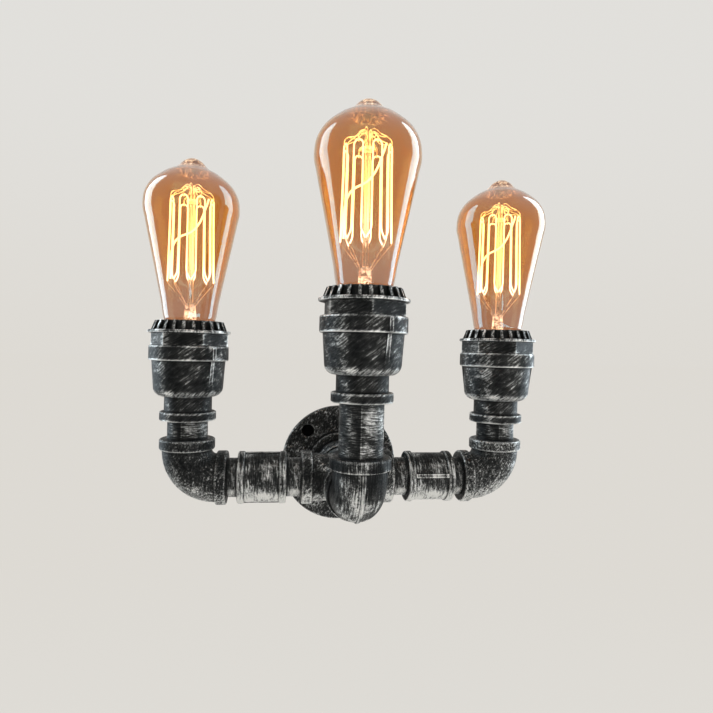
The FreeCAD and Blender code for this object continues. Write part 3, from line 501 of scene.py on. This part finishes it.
# %% Where the elbows bend
BEND = 19.5 * MM
BEND_OUTSIDE = 36.0 * MM
BEND_AXES = {"left": "Y", "right": "Y", "middle": "X"}
OUTWARD = {"left": Vector((-1, 0, 0)), "right": Vector((1, 0, 0)), "middle": Vector((0, -1, 0))}
ELBOWS = {"left": "left_elbow", "right": "right_elbow", "middle": "front_elbow"}


def bend_centre(lamp):
    """The point that an elbow bends round: inwards from its riser, and above its arm."""
    riser = middle_of(f"{lamp}_riser")
    return Vector((riser.x, riser.y, 0)) - OUTWARD[lamp] * BEND + UP * BEND


print("the elbows bend", BEND / MM, "mm from their axes")

# %% Paint the lamps' iron
BELL_SLANT, BUSH_SLANT = 50, 62
BELL_SILVER = {"left": 0.15, "middle": 0.18, "right": 0.23}
# under: the painted highlight on faces that look down, here and in the tables below
BELL = {"under": 1.0, "speckle": 0.5, "edges": 1.1}
BUSH = {"amount": 0.22, "speckle": 0.3}
RING = {"amount": 0.18, "speckle": 0.3, "edges": 0.75}
# seam: silver on the riser's seam, with its right side painted lighter
RISER = {"amount": 0.34, "seam": 0.36}

for lamp in LAMPS:
    centre = middle_of(f"{lamp}_bell_reducer")
    silver = BELL_SILVER[lamp]
    bell = brushed_slanting(f"{lamp}_bell_paint", BELL_SLANT, centre, amount=silver, **BELL)
    paint([f"{lamp}_bell_reducer"], bell)
    paint([f"{lamp}_hex_bush"], brushed_slanting(f"{lamp}_bush_paint", BUSH_SLANT, centre, **BUSH))
    paint([f"{lamp}_shade_ring"], speckled(f"{lamp}_ring_paint", centre, **RING))
    riser = f"{lamp}_riser"
    paint([riser], brushed_round(f"{riser}_paint", "Z", middle_of(riser), **RISER))
print("3 lamps painted")

# %% Paint the pipes and castings
ARM_SILVER = {"inner_nipple": 0.42, "coupling": 0.33, "outer_nipple": 0.42}
ARM = {"under": 1.15, "speckle": 0.8}
DEPTH_NIPPLE = {"amount": 0.30}
ELBOW_SILVER = {"left": 0.18, "right": 0.30}
SIDE_ELBOW = {"speckle": 1.3, "clumps": 0.9, "under": 0.75}
# crest: a painted highlight down the middle of the front elbow, with painted shade at its sides
FRONT_ELBOW = {"amount": 0.06, "under": 0.9, "speckle": 1.3, "crest": 0.55}
CROSS = {"amount": 0.26, "under": 0.8}
FLANGE = {"amount": 0.28, "speckle": 1.1, "under": 0.2, "edges": 0.5, "clumps": 0.8}

for side in ("left", "right"):
    for part, silver in ARM_SILVER.items():
        name = f"{side}_{part}"
        arm = brushed_round(f"{name}_paint", "X", middle_of(name), amount=silver, **ARM)
        paint([name], arm)
for name in ("wall_nipple", "front_nipple"):
    paint([name], brushed_round(f"{name}_paint", "Y", middle_of(name), **DEPTH_NIPPLE))
for side, silver in ELBOW_SILVER.items():
    name = ELBOWS[side]
    elbow = speckled(f"{name}_paint", bend_centre(side), amount=silver, **SIDE_ELBOW)
    paint([name], elbow)
front = brushed_round("front_elbow_paint", "X", bend_centre("middle"), **FRONT_ELBOW)
paint(["front_elbow"], front)
paint(["pipe_cross"], speckled("cross_paint", middle_of("pipe_cross"), **CROSS))
paint(["wall_flange"], speckled("flange_paint", middle_of("wall_flange"), **FLANGE))
print(len([m for m in bpy.data.materials if m.name.endswith("_paint")]), "paints")

# %% [markdown]
# ## Parting lines on the elbows
#
# An elbow is cast in two half moulds, and the iron that creeps between them
# leaves a low ridge round the outside of the bend. On the front elbow it runs
# down the middle and catches the silver. The ridge is a small ring of points
# spun a quarter turn about the centre of the bend.

# %% Spin a ridge round each elbow
RIDGE_HEIGHTS = {"left": 0.3 * MM, "right": 0.3 * MM, "middle": 0.9 * MM}
RIDGE_HALF_WIDTH = 1.2 * MM
RIDGE_CORNERS = 12
RIDGE_STEPS = 28
RIDGE_WELD = 0.01 * MM
RIDGE_PAINT = {"amount": 0.34, "edges": 0.3, "under": 0.5}
SMOOTH_UP_TO = math.radians(50)


def positive(direction):
    """A direction with its parts made positive."""
    return Vector([abs(part) for part in direction])


def parting_line(name, centre, outward, height):
    """A ridge that starts on the outward side of a bend and turns down to its underside."""
    bpy.ops.object.select_all(action="DESELECT")
    start = centre + outward * BEND_OUTSIDE
    bpy.ops.mesh.primitive_circle_add(vertices=RIDGE_CORNERS, radius=1.0, location=start)
    ridge = bpy.context.object
    ridge.name = name
    sideways = outward.cross(UP)
    ridge.scale = positive(outward) * height + positive(sideways) * RIDGE_HALF_WIDTH + UP
    bpy.ops.object.transform_apply(location=True, rotation=True, scale=True)
    bpy.ops.object.mode_set(mode="EDIT")
    bpy.ops.mesh.select_all(action="SELECT")
    bpy.ops.mesh.spin(steps=RIDGE_STEPS, angle=math.pi / 2, center=centre, axis=sideways)
    bpy.ops.mesh.select_all(action="SELECT")
    bpy.ops.mesh.remove_doubles(threshold=RIDGE_WELD)
    bpy.ops.mesh.select_all(action="DESELECT")
    bpy.ops.mesh.select_non_manifold()
    bpy.ops.mesh.edge_face_add()
    bpy.ops.mesh.select_all(action="SELECT")
    bpy.ops.mesh.normals_make_consistent(inside=False)
    bpy.ops.object.mode_set(mode="OBJECT")
    bpy.ops.object.shade_smooth_by_angle(angle=SMOOTH_UP_TO)
    return ridge


for lamp in LAMPS:
    centre = bend_centre(lamp)
    name = f"{ELBOWS[lamp]}_parting_line"
    ridge = parting_line(name, centre, OUTWARD[lamp], RIDGE_HEIGHTS[lamp])
    seam_paint = brushed_round(f"{lamp}_seam_paint", BEND_AXES[lamp], centre, **RIDGE_PAINT)
    ridge.data.materials.append(seam_paint)
    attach(ridge, "fixture")
    print(ridge.name, len(ridge.data.polygons), "faces")

# %% [markdown]
# ## Painted shade in the screw holes
#
# The flange's four screw holes look black, because nothing lights what is
# behind them. A small black disc with a dished face closes the far end of each
# hole as painted shade, so that the pale ground doesn't show through.

# %% Model one shade disc and copy it
HOLE_CIRCLE = 71.5 * MM
SHADE_DISC_RADIUS = 4.82 * MM
SHADE_DISC_DEPTH = 2.2 * MM
SHADE_DISC_SIDES = 40
SHADE_DISC_SMOOTH_UP_TO = math.radians(30)
FACING_FRONT = -0.9  # the normal's Y, below which a face looks at the room
WALL_GAP = 0.2 * MM
DISH = ((0.8, 0.0), (0.9, -0.7), (1.2, -0.2))  # each step's width and depth in mm

spot = HOLE_CIRCLE / 2 * math.sqrt(0.5)
bpy.ops.object.select_all(action="DESELECT")
bpy.ops.mesh.primitive_cylinder_add(
    vertices=SHADE_DISC_SIDES, radius=SHADE_DISC_RADIUS, depth=SHADE_DISC_DEPTH,
    location=(-spot, -SHADE_DISC_DEPTH / 2 - WALL_GAP, spot), rotation=(math.pi / 2, 0, 0),
)
shade_disc = bpy.context.object
shade_disc.name = "painted_shade_disc_1"
bpy.ops.object.transform_apply(location=True, rotation=True, scale=True)
bpy.ops.object.mode_set(mode="EDIT")
bpy.ops.mesh.select_mode(type="FACE")
bpy.ops.mesh.select_all(action="DESELECT")
bpy.ops.object.mode_set(mode="OBJECT")
for face in shade_disc.data.polygons:
    face.select = face.normal.y < FACING_FRONT
bpy.ops.object.mode_set(mode="EDIT")
for width, depth in DISH:
    bpy.ops.mesh.inset(thickness=width * MM, depth=depth * MM)
bpy.ops.mesh.select_mode(type="VERT")
bpy.ops.object.mode_set(mode="OBJECT")
bpy.ops.object.shade_smooth_by_angle(angle=SHADE_DISC_SMOOTH_UP_TO)
shade_discs = [shade_disc]
for number, (across, rise) in enumerate(((2, 0), (0, -2), (2, -2)), start=2):
    copy = shade_disc.copy()
    copy.data = shade_disc.data.copy()
    copy.name = f"painted_shade_disc_{number}"
    copy.data.transform(Matrix.Translation((across * spot, 0, rise * spot)))
    bpy.context.scene.collection.objects.link(copy)
    shade_discs.append(copy)
print(len(shade_discs), "shade_discs")

# %% [markdown]
# ## The bulbs' glass
#
# The bulbs are blown from amber glass under a millimetre thick. Light goes
# through two walls, so each wall carries only half of the colour, which is
# warmest behind the cage, pinker at the foot and crown, and deepest in the
# thick tip. A trace of milkiness on the glass lets the filament light the
# far wall. Near the tip, curls of painted glint glow in the glass, standing in
# for the filament's reflection there.

# %% Amber glass
GLASS_FOOT = (0.72, 0.49, 0.36, 1)
GLASS_MIDDLE = (0.78, 0.44, 0.15, 1)
GLASS_CROWN = (0.74, 0.50, 0.39, 1)
GLASS_TIP = (0.52, 0.31, 0.20, 1)
GLASS_GLOSS = (0.22, 0.74, 1.0, 1)  # cool, so that streaks over the amber look white
FOOT_TO_MIDDLE, MIDDLE_TO_CROWN, CROWN_TO_TIP = (-42, 0), (28, 55), (53, 58)  # mm up
STREAK = (20, 20, 90)
STREAK_DRIFT = 24.0  # mm by which the streaks shift the colours up and down
TIP_GLINT = (1.0, 0.80, 0.54, 1)
CURL_RADIUS, CURL_HEIGHT = (14, 10), (30, 40)
CURLS_PER_MM, CURL_TWIST, CURL_WIDTH = 0.17, 1.6, (0.034, 0.010)
CURL_FADE = (51, 58, 1.15, 0.5)


def amber_glass(name, centre):
    """Clear amber glass, with a painted glint near the tip: curls of glow that stand in for the
    filament's reflection.
    """
    material, tree, shader = new_material(name)
    place = millimetres(tree, centre)
    height = height_of(tree, place)
    streaks = noise(tree, drawn_out(tree, place, STREAK), 1.0)
    level = sums(tree, "SUBTRACT", height, STREAK_DRIFT / 2)
    level = sums(tree, "MULTIPLY_ADD", streaks, STREAK_DRIFT, level)
    warmth = ramp(tree, level, *FOOT_TO_MIDDLE)
    colour = blend_colours(tree, warmth, GLASS_FOOT, GLASS_MIDDLE)
    colour = blend_colours(tree, ramp(tree, level, *MIDDLE_TO_CROWN), colour, GLASS_CROWN)
    colour = blend_colours(tree, ramp(tree, height, *CROWN_TO_TIP), colour, GLASS_TIP)

    from_axis = vectors(tree, "LENGTH", vectors(tree, "MULTIPLY", place, (1, 1, 0)))
    near_axis = ramp(tree, from_axis, *CURL_RADIUS)
    near_tip = sums(tree, "MULTIPLY", near_axis, ramp(tree, height, *CURL_HEIGHT))
    glint_curls = noise(tree, place, CURLS_PER_MM, detail=1, distortion=CURL_TWIST)
    ripple = sums(tree, "ABSOLUTE", sums(tree, "SUBTRACT", glint_curls, 0.5))
    # painted glint: the curls glow in place of the filament's reflection near the tip
    glint = sums(tree, "MULTIPLY", ramp(tree, height, *CURL_FADE), near_tip)
    finish = {
        "Base Color": colour,
        "Emission Color": TIP_GLINT,
        "Emission Strength": sums(tree, "MULTIPLY", ramp(tree, ripple, *CURL_WIDTH), glint),
        "Transmission Weight": 0.97,
        "Roughness": 0.0,
        "IOR": 1.58,
        "Specular IOR Level": 0.5,
        "Specular Tint": GLASS_GLOSS,
    }
    fill(tree, shader, finish)
    return material


glass_of = {}
for lamp in LAMPS:
    glass_of[lamp] = amber_glass(f"{lamp}_amber_glass", middle_of(f"{lamp}_bulb_glass"))
print(len(glass_of), "glasses")

# %% [markdown]
# ## Glass stem, cap and holder
#
# The stem is clear glass lit by the filament, and a painted glow on it makes it show as a yellow
# rod.
# The cap is nickel-plated with a black glass insulator and a solder contact.
# The holder is black ceramic, with a brass shell and contact, and two
# insulated wires leave it. They only show when a bulb is unscrewed, but
# they are finished all the same.


# %% Small parts' materials
CLOUDS = (0.3, 0.7)
GRAIN_FINER = 9


def plain(name, colours, roughness, scale, metal=0.0, bump=0.1):
    """A material that wanders between two colours and two roughnesses, with a fine bump."""
    material, tree, shader = new_material(name)
    place = millimetres(tree)
    clouds = noise(tree, place, scale, detail=4, roughness=0.6)
    grain = noise(tree, place, scale * GRAIN_FINER)
    bumps = {"Strength": bump, "Distance": 0.1 * MM, "Height": grain}
    finish = {
        "Base Color": blend_colours(tree, ramp(tree, clouds, *CLOUDS), *colours),
        "Roughness": ramp(tree, clouds, *CLOUDS, *roughness),
        "Metallic": metal,
        "Normal": add(tree, "ShaderNodeBump", bumps).outputs[0],
    }
    fill(tree, shader, finish)
    return material


nickel = plain(
    "nickel_plate", ((0.55, 0.53, 0.50, 1), (0.72, 0.70, 0.66, 1)), (0.22, 0.4), 0.3, metal=1.0
)
brass = plain(
    "brass", ((0.62, 0.42, 0.16, 1), (0.78, 0.58, 0.27, 1)), (0.25, 0.42), 0.25, metal=1.0
)
solder = plain(
    "solder", ((0.42, 0.42, 0.43, 1), (0.60, 0.60, 0.60, 1)), (0.3, 0.5), 0.6, metal=1.0, bump=0.4
)
ceramic = plain(
    "black_ceramic", ((0.010, 0.010, 0.011, 1), (0.020, 0.019, 0.018, 1)), (0.25, 0.4), 0.3
)
vitrite = plain(
    "black_cap_glass", ((0.006, 0.006, 0.008, 1), (0.014, 0.012, 0.016, 1)), (0.08, 0.2), 0.4
)
insulation = plain(
    "wire_insulation", ((0.020, 0.020, 0.021, 1), (0.034, 0.033, 0.032, 1)), (0.45, 0.6), 0.5
)
# painted shade: the near-black of the discs in the screw holes
dark = plain(
    "unlit_hole", ((0.0010, 0.0010, 0.0011, 1), (0.0022, 0.0021, 0.0020, 1)), (0.8, 0.95), 0.5
)
shader_of(dark).inputs["Specular IOR Level"].default_value = 0.05
print("7 plain materials")

# %% Lit glass
ROD_LIGHT = ((1.0, 0.86, 0.66, 1), (1.0, 0.95, 0.92, 1))
ROD_GLOW = (-14, 8, 0.0, 1.15)  # from and to these heights in mm, and the glow there
FOOT_GLOW = (-20, -27, 0.0, 1.6)
FOOT_PATCHES = (0.47, 0.60)
ROD_LINE = (2.3, 2.3, 40)
ROD_LINES = (0.38, 0.62, 0.3, 1.3)


def lit_glass(name, centre):
    """Clear glass with a painted glow that stands in for the filament's light carried along it."""
    material, tree, shader = new_material(name)
    place = millimetres(tree, centre)
    height = height_of(tree, place)
    swirl = noise(tree, place, 0.35, detail=3, roughness=0.6, distortion=1.2)
    patches = ramp(tree, swirl, *FOOT_PATCHES)
    foot_glow = sums(tree, "MULTIPLY", ramp(tree, height, *FOOT_GLOW), patches)
    lines = noise(tree, drawn_out(tree, place, ROD_LINE), 1.0, detail=1)
    lines = ramp(tree, lines, *ROD_LINES)
    rod_glow = sums(tree, "MULTIPLY", ramp(tree, height, *ROD_GLOW), lines)
    finish = {
        "Emission Color": blend_colours(tree, swirl, *ROD_LIGHT),
        "Emission Strength": sums(tree, "ADD", rod_glow, foot_glow),
        "Base Color": (1.0, 0.93, 0.80, 1),
        "Transmission Weight": 0.85,
        "Roughness": 0.05,
        "IOR": 1.5,
    }
    fill(tree, shader, finish)
    return material


# %% Paint the small parts
# the discs are painted shade in the screw holes
for shade_disc in shade_discs:
    shade_disc.data.materials.append(dark)
    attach(shade_disc, "fixture")
for lamp in LAMPS:
    paint([f"{lamp}_bulb_cap_shell"], nickel)
    paint([f"{lamp}_bulb_cap_insulator"], vitrite)
    paint([f"{lamp}_bulb_cap_contact"], solder)
    paint([f"{lamp}_socket_body"], ceramic)
    paint([f"{lamp}_socket_shell", f"{lamp}_socket_contact"], brass)
    paint([f"{lamp}_lamp_wires"], insulation)
    stem = f"{lamp}_bulb_stem"
    paint([stem], lit_glass(f"{lamp}_stem_glass", middle_of(stem)))
print("small parts painted")

# %% [markdown]
# ## Bending wires
#
# The filament and its supports are wires, and the bulb's outline is a curve
# too. A Bezier curve is the easy way to draw them: the points and their
# handles are the bends, and the curve's own bevel gives a wire its
# thickness. The curve is then made a mesh.

# %% Curves to meshes
CURVE_STEPS = 6
FLAT = (Vector((2.6, 0, 0)), Vector((-2.6, 0, 0)))  # handles that lie level


def bent_wire(name, bends, thickness):
    """A mesh wire. A bend is a point in mm, and AUTO, two handles, or None if it is sharp."""
    bpy.ops.object.select_all(action="DESELECT")
    bpy.ops.curve.primitive_bezier_curve_add()
    wire = bpy.context.object
    wire.name = name
    curve = wire.data
    curve.splines.clear()
    spline = curve.splines.new("BEZIER")
    spline.bezier_points.add(len(bends) - 1)
    for point, (place, handles) in zip(spline.bezier_points, bends):
        point.co = place * MM
        if handles is None or handles == "AUTO":
            point.handle_left_type = point.handle_right_type = handles or "VECTOR"
        else:
            point.handle_left_type = point.handle_right_type = "FREE"
            point.handle_left = (place + handles[0]) * MM
            point.handle_right = (place + handles[1]) * MM
    curve.dimensions = "3D"
    curve.resolution_u = CURVE_STEPS
    curve.bevel_depth = thickness / 2 * MM
    curve.bevel_resolution = 1
    curve.use_fill_caps = True
    bpy.ops.object.convert(target="MESH")
    if thickness:
        bpy.ops.object.shade_smooth()
    return bpy.context.object


def joined(name, parts):
    """Several wires as one mesh."""
    bpy.ops.object.select_all(action="DESELECT")
    for part in parts:
        part.select_set(True)
    bpy.context.view_layer.objects.active = parts[0]
    bpy.ops.object.join()
    parts[0].name = name
    return parts[0]


# %% [markdown]
# ## The bulb's envelope
#
# Each bulb is blown in a mould and then sealed at the top, where the glass is
# drawn out to a soft point and stays thick. The crown runs into that point in
# one line, which is easier to draw with a curve than with arcs. The curve is
# half the bulb's outline. It is spun round the axis, and the shell is thickened
# inwards. Heights count from the foot of the cap's contact.

# %% Spin the envelope
BULB_LENGTH = 145.7
GLASS_START = 21.0
OUTSIDE = [
    (12.51, GLASS_START, None), (12.51, 26.5, None), (15.91, 33.0, "AUTO"),
    (19.3, 49.7, "AUTO"), (23.0, 68.0, "AUTO"), (26.8, 86.4, "AUTO"),
    (30.0, 102.0, "AUTO"), (31.7, 112.0, "AUTO"), (29.2, 123.5, "AUTO"),
    (21.0, 132.4, "AUTO"), (10.6, 138.9, "AUTO"), (5.2, 144.1, "AUTO"),
    (0.0, BULB_LENGTH, FLAT),
]
GLASS_WALL = 0.9 * MM
GLASS_STEPS = 112
GLASS_WELD = 0.005 * MM


def spun(name, outline):
    """A mesh made by spinning an outline of radius, height and bend round the upright axis."""
    bends = [(Vector((radius, 0, height)), bend) for radius, height, bend in outline]
    body = bent_wire(name, bends, 0)
    bpy.ops.object.mode_set(mode="EDIT")
    bpy.ops.mesh.select_all(action="SELECT")
    bpy.ops.mesh.spin(steps=GLASS_STEPS, angle=2 * math.pi, center=(0, 0, 0), axis=UP)
    bpy.ops.mesh.select_all(action="SELECT")
    bpy.ops.mesh.remove_doubles(threshold=GLASS_WELD)
    bpy.ops.mesh.normals_make_consistent(inside=False)
    bpy.ops.object.mode_set(mode="OBJECT")
    return body


envelope = spun("envelope", OUTSIDE)
wall = envelope.modifiers.new("wall", "SOLIDIFY")
wall.thickness = GLASS_WALL
wall.offset = -1.0
wall.use_even_offset = True
bpy.ops.object.modifier_apply(modifier=wall.name)
bpy.ops.object.shade_smooth_by_angle(angle=SMOOTH_UP_TO)
print("envelope:", len(envelope.data.polygons), "faces")

# %% [markdown]
# ## The filament
#
# The filament is one long wire that climbs and falls round the stem. It
# hangs over a hook at the top, so each climb turns in a small round arch,
# and it is pinched by a support at the bottom, so each fall ends in a point.
# One strand comes back across the front on a slant. A real filament is
# finer, but its glare makes it look about this thick.

# %% Bend the filament
FILAMENT = 1.0
CROSS_STRAND_THICKER = 1.25
ARCHES = 8
PITCH = 360 / ARCHES
CAGE_TOP = BULB_LENGTH - 28.2
CAGE_FOOT = 61.5
TOP_RADIUS = 14.3
FOOT_RADIUS = 15.1
SHOULDER_DROP = 2.8
PINCH_RISE = 0.4
FALL_RISE = 8
END_GAP = 1.2  # in degrees, between the wire's two ends
SHOULDER_CURVE, CROWN_CURVE, FALL_CURVE, STRAND_CURVE = 1.6, 1.5, 4, 12


def on_ring(radius, turn, height):
    """A point on a ring round the bulb's axis, in mm and degrees from the front."""
    angle = math.radians(turn)
    return Vector((radius * math.sin(angle), -radius * math.cos(angle), height))


def arch_bends(turn):
    """The bends of one climb, arch and fall, from the pinch at this turn."""
    middle = turn + PITCH / 2
    first = on_ring(TOP_RADIUS, middle - PITCH / 4, CAGE_TOP - SHOULDER_DROP)
    last = on_ring(TOP_RADIUS, middle + PITCH / 4, CAGE_TOP - SHOULDER_DROP)
    along = (last - first).normalized() * CROWN_CURVE
    low_first = on_ring(FOOT_RADIUS, middle - PITCH / 4, CAGE_FOOT + FALL_RISE)
    low_last = on_ring(FOOT_RADIUS, middle + PITCH / 4, CAGE_FOOT + FALL_RISE)
    return [
        (on_ring(FOOT_RADIUS, turn, CAGE_FOOT + PINCH_RISE), None),
        (low_first, (-FALL_CURVE * UP, FALL_CURVE * UP)),
        (first, (-STRAND_CURVE * UP, SHOULDER_CURVE * UP)),
        (on_ring(TOP_RADIUS, middle, CAGE_TOP), (-along, along)),
        (last, (SHOULDER_CURVE * UP, -STRAND_CURVE * UP)),
        (low_last, (FALL_CURVE * UP, -FALL_CURVE * UP)),
    ]


bends = []
for arch in range(ARCHES):
    bends += arch_bends(arch * PITCH)
bends.append((on_ring(FOOT_RADIUS, 360 - END_GAP, CAGE_FOOT + PINCH_RISE), None))
cage = bent_wire("cage", bends, FILAMENT)

crossing = [
    (on_ring(14.0, 48, CAGE_TOP - 0.6), None),
    (Vector((9.0, -11.4, BULB_LENGTH - 34)), "AUTO"),
    (Vector((1.4, -14.6, BULB_LENGTH - 51)), "AUTO"),
    (Vector((-9.2, -11.6, BULB_LENGTH - 57.5)), "AUTO"),
    (Vector((-12.4, -8.6, BULB_LENGTH - 65)), "AUTO"),
    (on_ring(FOOT_RADIUS, -58, CAGE_FOOT + 1.0), None),
]
cross_strand = bent_wire("cross_strand", crossing, FILAMENT * CROSS_STRAND_THICKER)
filament = joined("filament", [cage, cross_strand])
print("filament:", len(filament.data.polygons), "faces")

# %% [markdown]
# ## The wires that hold it
#
# Fine wires stand in the glass button at the top of the stem, rise to a
# point, and fan out like an umbrella's ribs to a hook over each arch. Each
# rib has a finer twin. Other wires leave the hub lower down and reach out to
# the filament's points.

# %% Bend the supports
SUPPORT = 0.55
TWIN_THINNER = 0.8
HUB = 46.5
APEX = {"even": 9.2, "odd": 11.0}
SWAY = {"even": -4.0, "odd": 5.0}  # degrees by which a rib leans aside
TWIN_DROP = 1.9
TWIN_SWAY = -0.7


def rib_bends(turn, sway, apex):
    """An umbrella rib, from the button over the apex to its hook on an arch."""
    return [
        (on_ring(1.7, turn, CAGE_TOP + 0.2), None),
        (on_ring(1.5, turn, CAGE_TOP + 6.0), "AUTO"),
        (on_ring(2.4, turn + sway, apex), "AUTO"),
        (on_ring(8.0, turn + sway, apex - 3.4), "AUTO"),
        (on_ring(13.6, turn + sway / 2, CAGE_TOP + 3.6), "AUTO"),
        (on_ring(14.9, turn, CAGE_TOP + 0.4), "AUTO"),
        (on_ring(14.4, turn, CAGE_TOP - 1.0), "AUTO"),
        (on_ring(13.4, turn, CAGE_TOP - 0.2), "AUTO"),
        (on_ring(13.8, turn, CAGE_TOP + 1.2), "AUTO"),
    ]


def strut_bends(turn):
    """A strut, from the hub out to its hook on a point of the filament."""
    return [
        (on_ring(3.4, turn, HUB - 1.0), None),
        (on_ring(6.0, turn, HUB + 3.0), "AUTO"),
        (on_ring(12.6, turn + 3, CAGE_FOOT - 3.4), "AUTO"),
        (on_ring(15.3, turn, CAGE_FOOT + 0.2), "AUTO"),
        (on_ring(15.0, turn, CAGE_FOOT + 1.3), "AUTO"),
        (on_ring(14.2, turn, CAGE_FOOT + 0.5), "AUTO"),
    ]


spokes = []
for number in range(2 * ARCHES):
    twin = number >= ARCHES
    kind = "odd" if number % 2 else "even"
    turn = number * PITCH + PITCH / 2
    sway = SWAY[kind] * (TWIN_SWAY if twin else 1)
    apex = CAGE_TOP + APEX[kind] - (TWIN_DROP if twin else 0)
    thickness = SUPPORT * (TWIN_THINNER if twin else 1)
    spokes.append(bent_wire("rib", rib_bends(turn, sway, apex), thickness))
for arch in range(ARCHES):
    spokes.append(bent_wire("strut", strut_bends(arch * PITCH), SUPPORT))
supports = joined("supports", spokes)
print("supports:", len(supports.data.polygons), "faces")


# %% Filament and support materials
HEAT = ((1.0, 0.90, 0.86, 1), (1.0, 0.95, 1.0, 1))
FILAMENT_GLOW = 5.2
SUPPORT_METAL = ((0.52, 0.36, 0.20, 1), (0.86, 0.70, 0.42, 1))
SUPPORT_LIGHT = (1.0, 0.90, 0.76, 1)
SUPPORT_GLOW = (-20, 30, 0.5, 2.7)  # from and to these heights in mm, and the glow there
SUPPORT_PATCHES = (0.35, 0.6, 0.25, 1.2)


def glowing(name):
    """Hot carbon wire, paler in some stretches than in others."""
    material, tree, shader = new_material(name)
    heat = noise(tree, millimetres(tree), 0.12)
    finish = {
        "Emission Color": blend_colours(tree, ramp(tree, heat, *CLOUDS), *HEAT),
        "Emission Strength": FILAMENT_GLOW,
        "Base Color": (0.10, 0.06, 0.03, 1),
        "Roughness": 0.6,
    }
    fill(tree, shader, finish)
    return material


def lit_support(name, centre):
    """Support wire with a painted glow that stands in for the filament's light, brightest above
    the cage and dull below it.
    """
    material = plain(name, SUPPORT_METAL, (0.2, 0.35), 0.4, metal=1.0)
    tree = material.node_tree
    place = millimetres(tree, centre)
    patches = ramp(tree, noise(tree, place, 0.3), *SUPPORT_PATCHES)
    glow = ramp(tree, height_of(tree, place), *SUPPORT_GLOW)
    lit = {
        "Emission Color": SUPPORT_LIGHT,
        "Emission Strength": sums(tree, "MULTIPLY", glow, patches),
    }
    fill(tree, shader_of(material), lit)
    return material


hot_wire = glowing("hot_filament")
print("filament glows at", FILAMENT_GLOW)


# %% Put a copy in each bulb
def copy_into(piece, name, lamp, material, node):
    """A copy of a bulb's piece in one lamp, turned to the camera, in place of a CAD node."""
    mesh = piece.data.copy()
    body = bpy.data.objects.new(name, mesh)
    bpy.context.scene.collection.objects.link(body)
    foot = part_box(f"{lamp}_bulb_cap_contact")[0].z
    middle = middle_of(f"{lamp}_bulb_glass")
    towards = CAMERA_PLACE - middle
    turn = math.atan2(towards.x, -towards.y)
    place = Matrix.Translation((middle.x, middle.y, foot)) @ Matrix.Rotation(turn, 4, "Z")
    mesh.transform(place)
    mesh.materials.clear()
    mesh.materials.append(material)
    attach(body, f"{lamp}_bulb")
    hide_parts(node)


for lamp in LAMPS:
    copy_into(envelope, f"{lamp}_envelope", lamp, glass_of[lamp], f"{lamp}_bulb_glass")
    copy_into(filament, f"{lamp}_filament", lamp, hot_wire, f"{lamp}_bulb_filament")
    wire = lit_support(f"{lamp}_support_wire", middle_of(f"{lamp}_bulb_glass"))
    copy_into(supports, f"{lamp}_supports", lamp, wire, f"{lamp}_bulb_supports")
for pattern in (envelope, filament, supports):
    bpy.data.objects.remove(pattern)
print("bulbs in place")
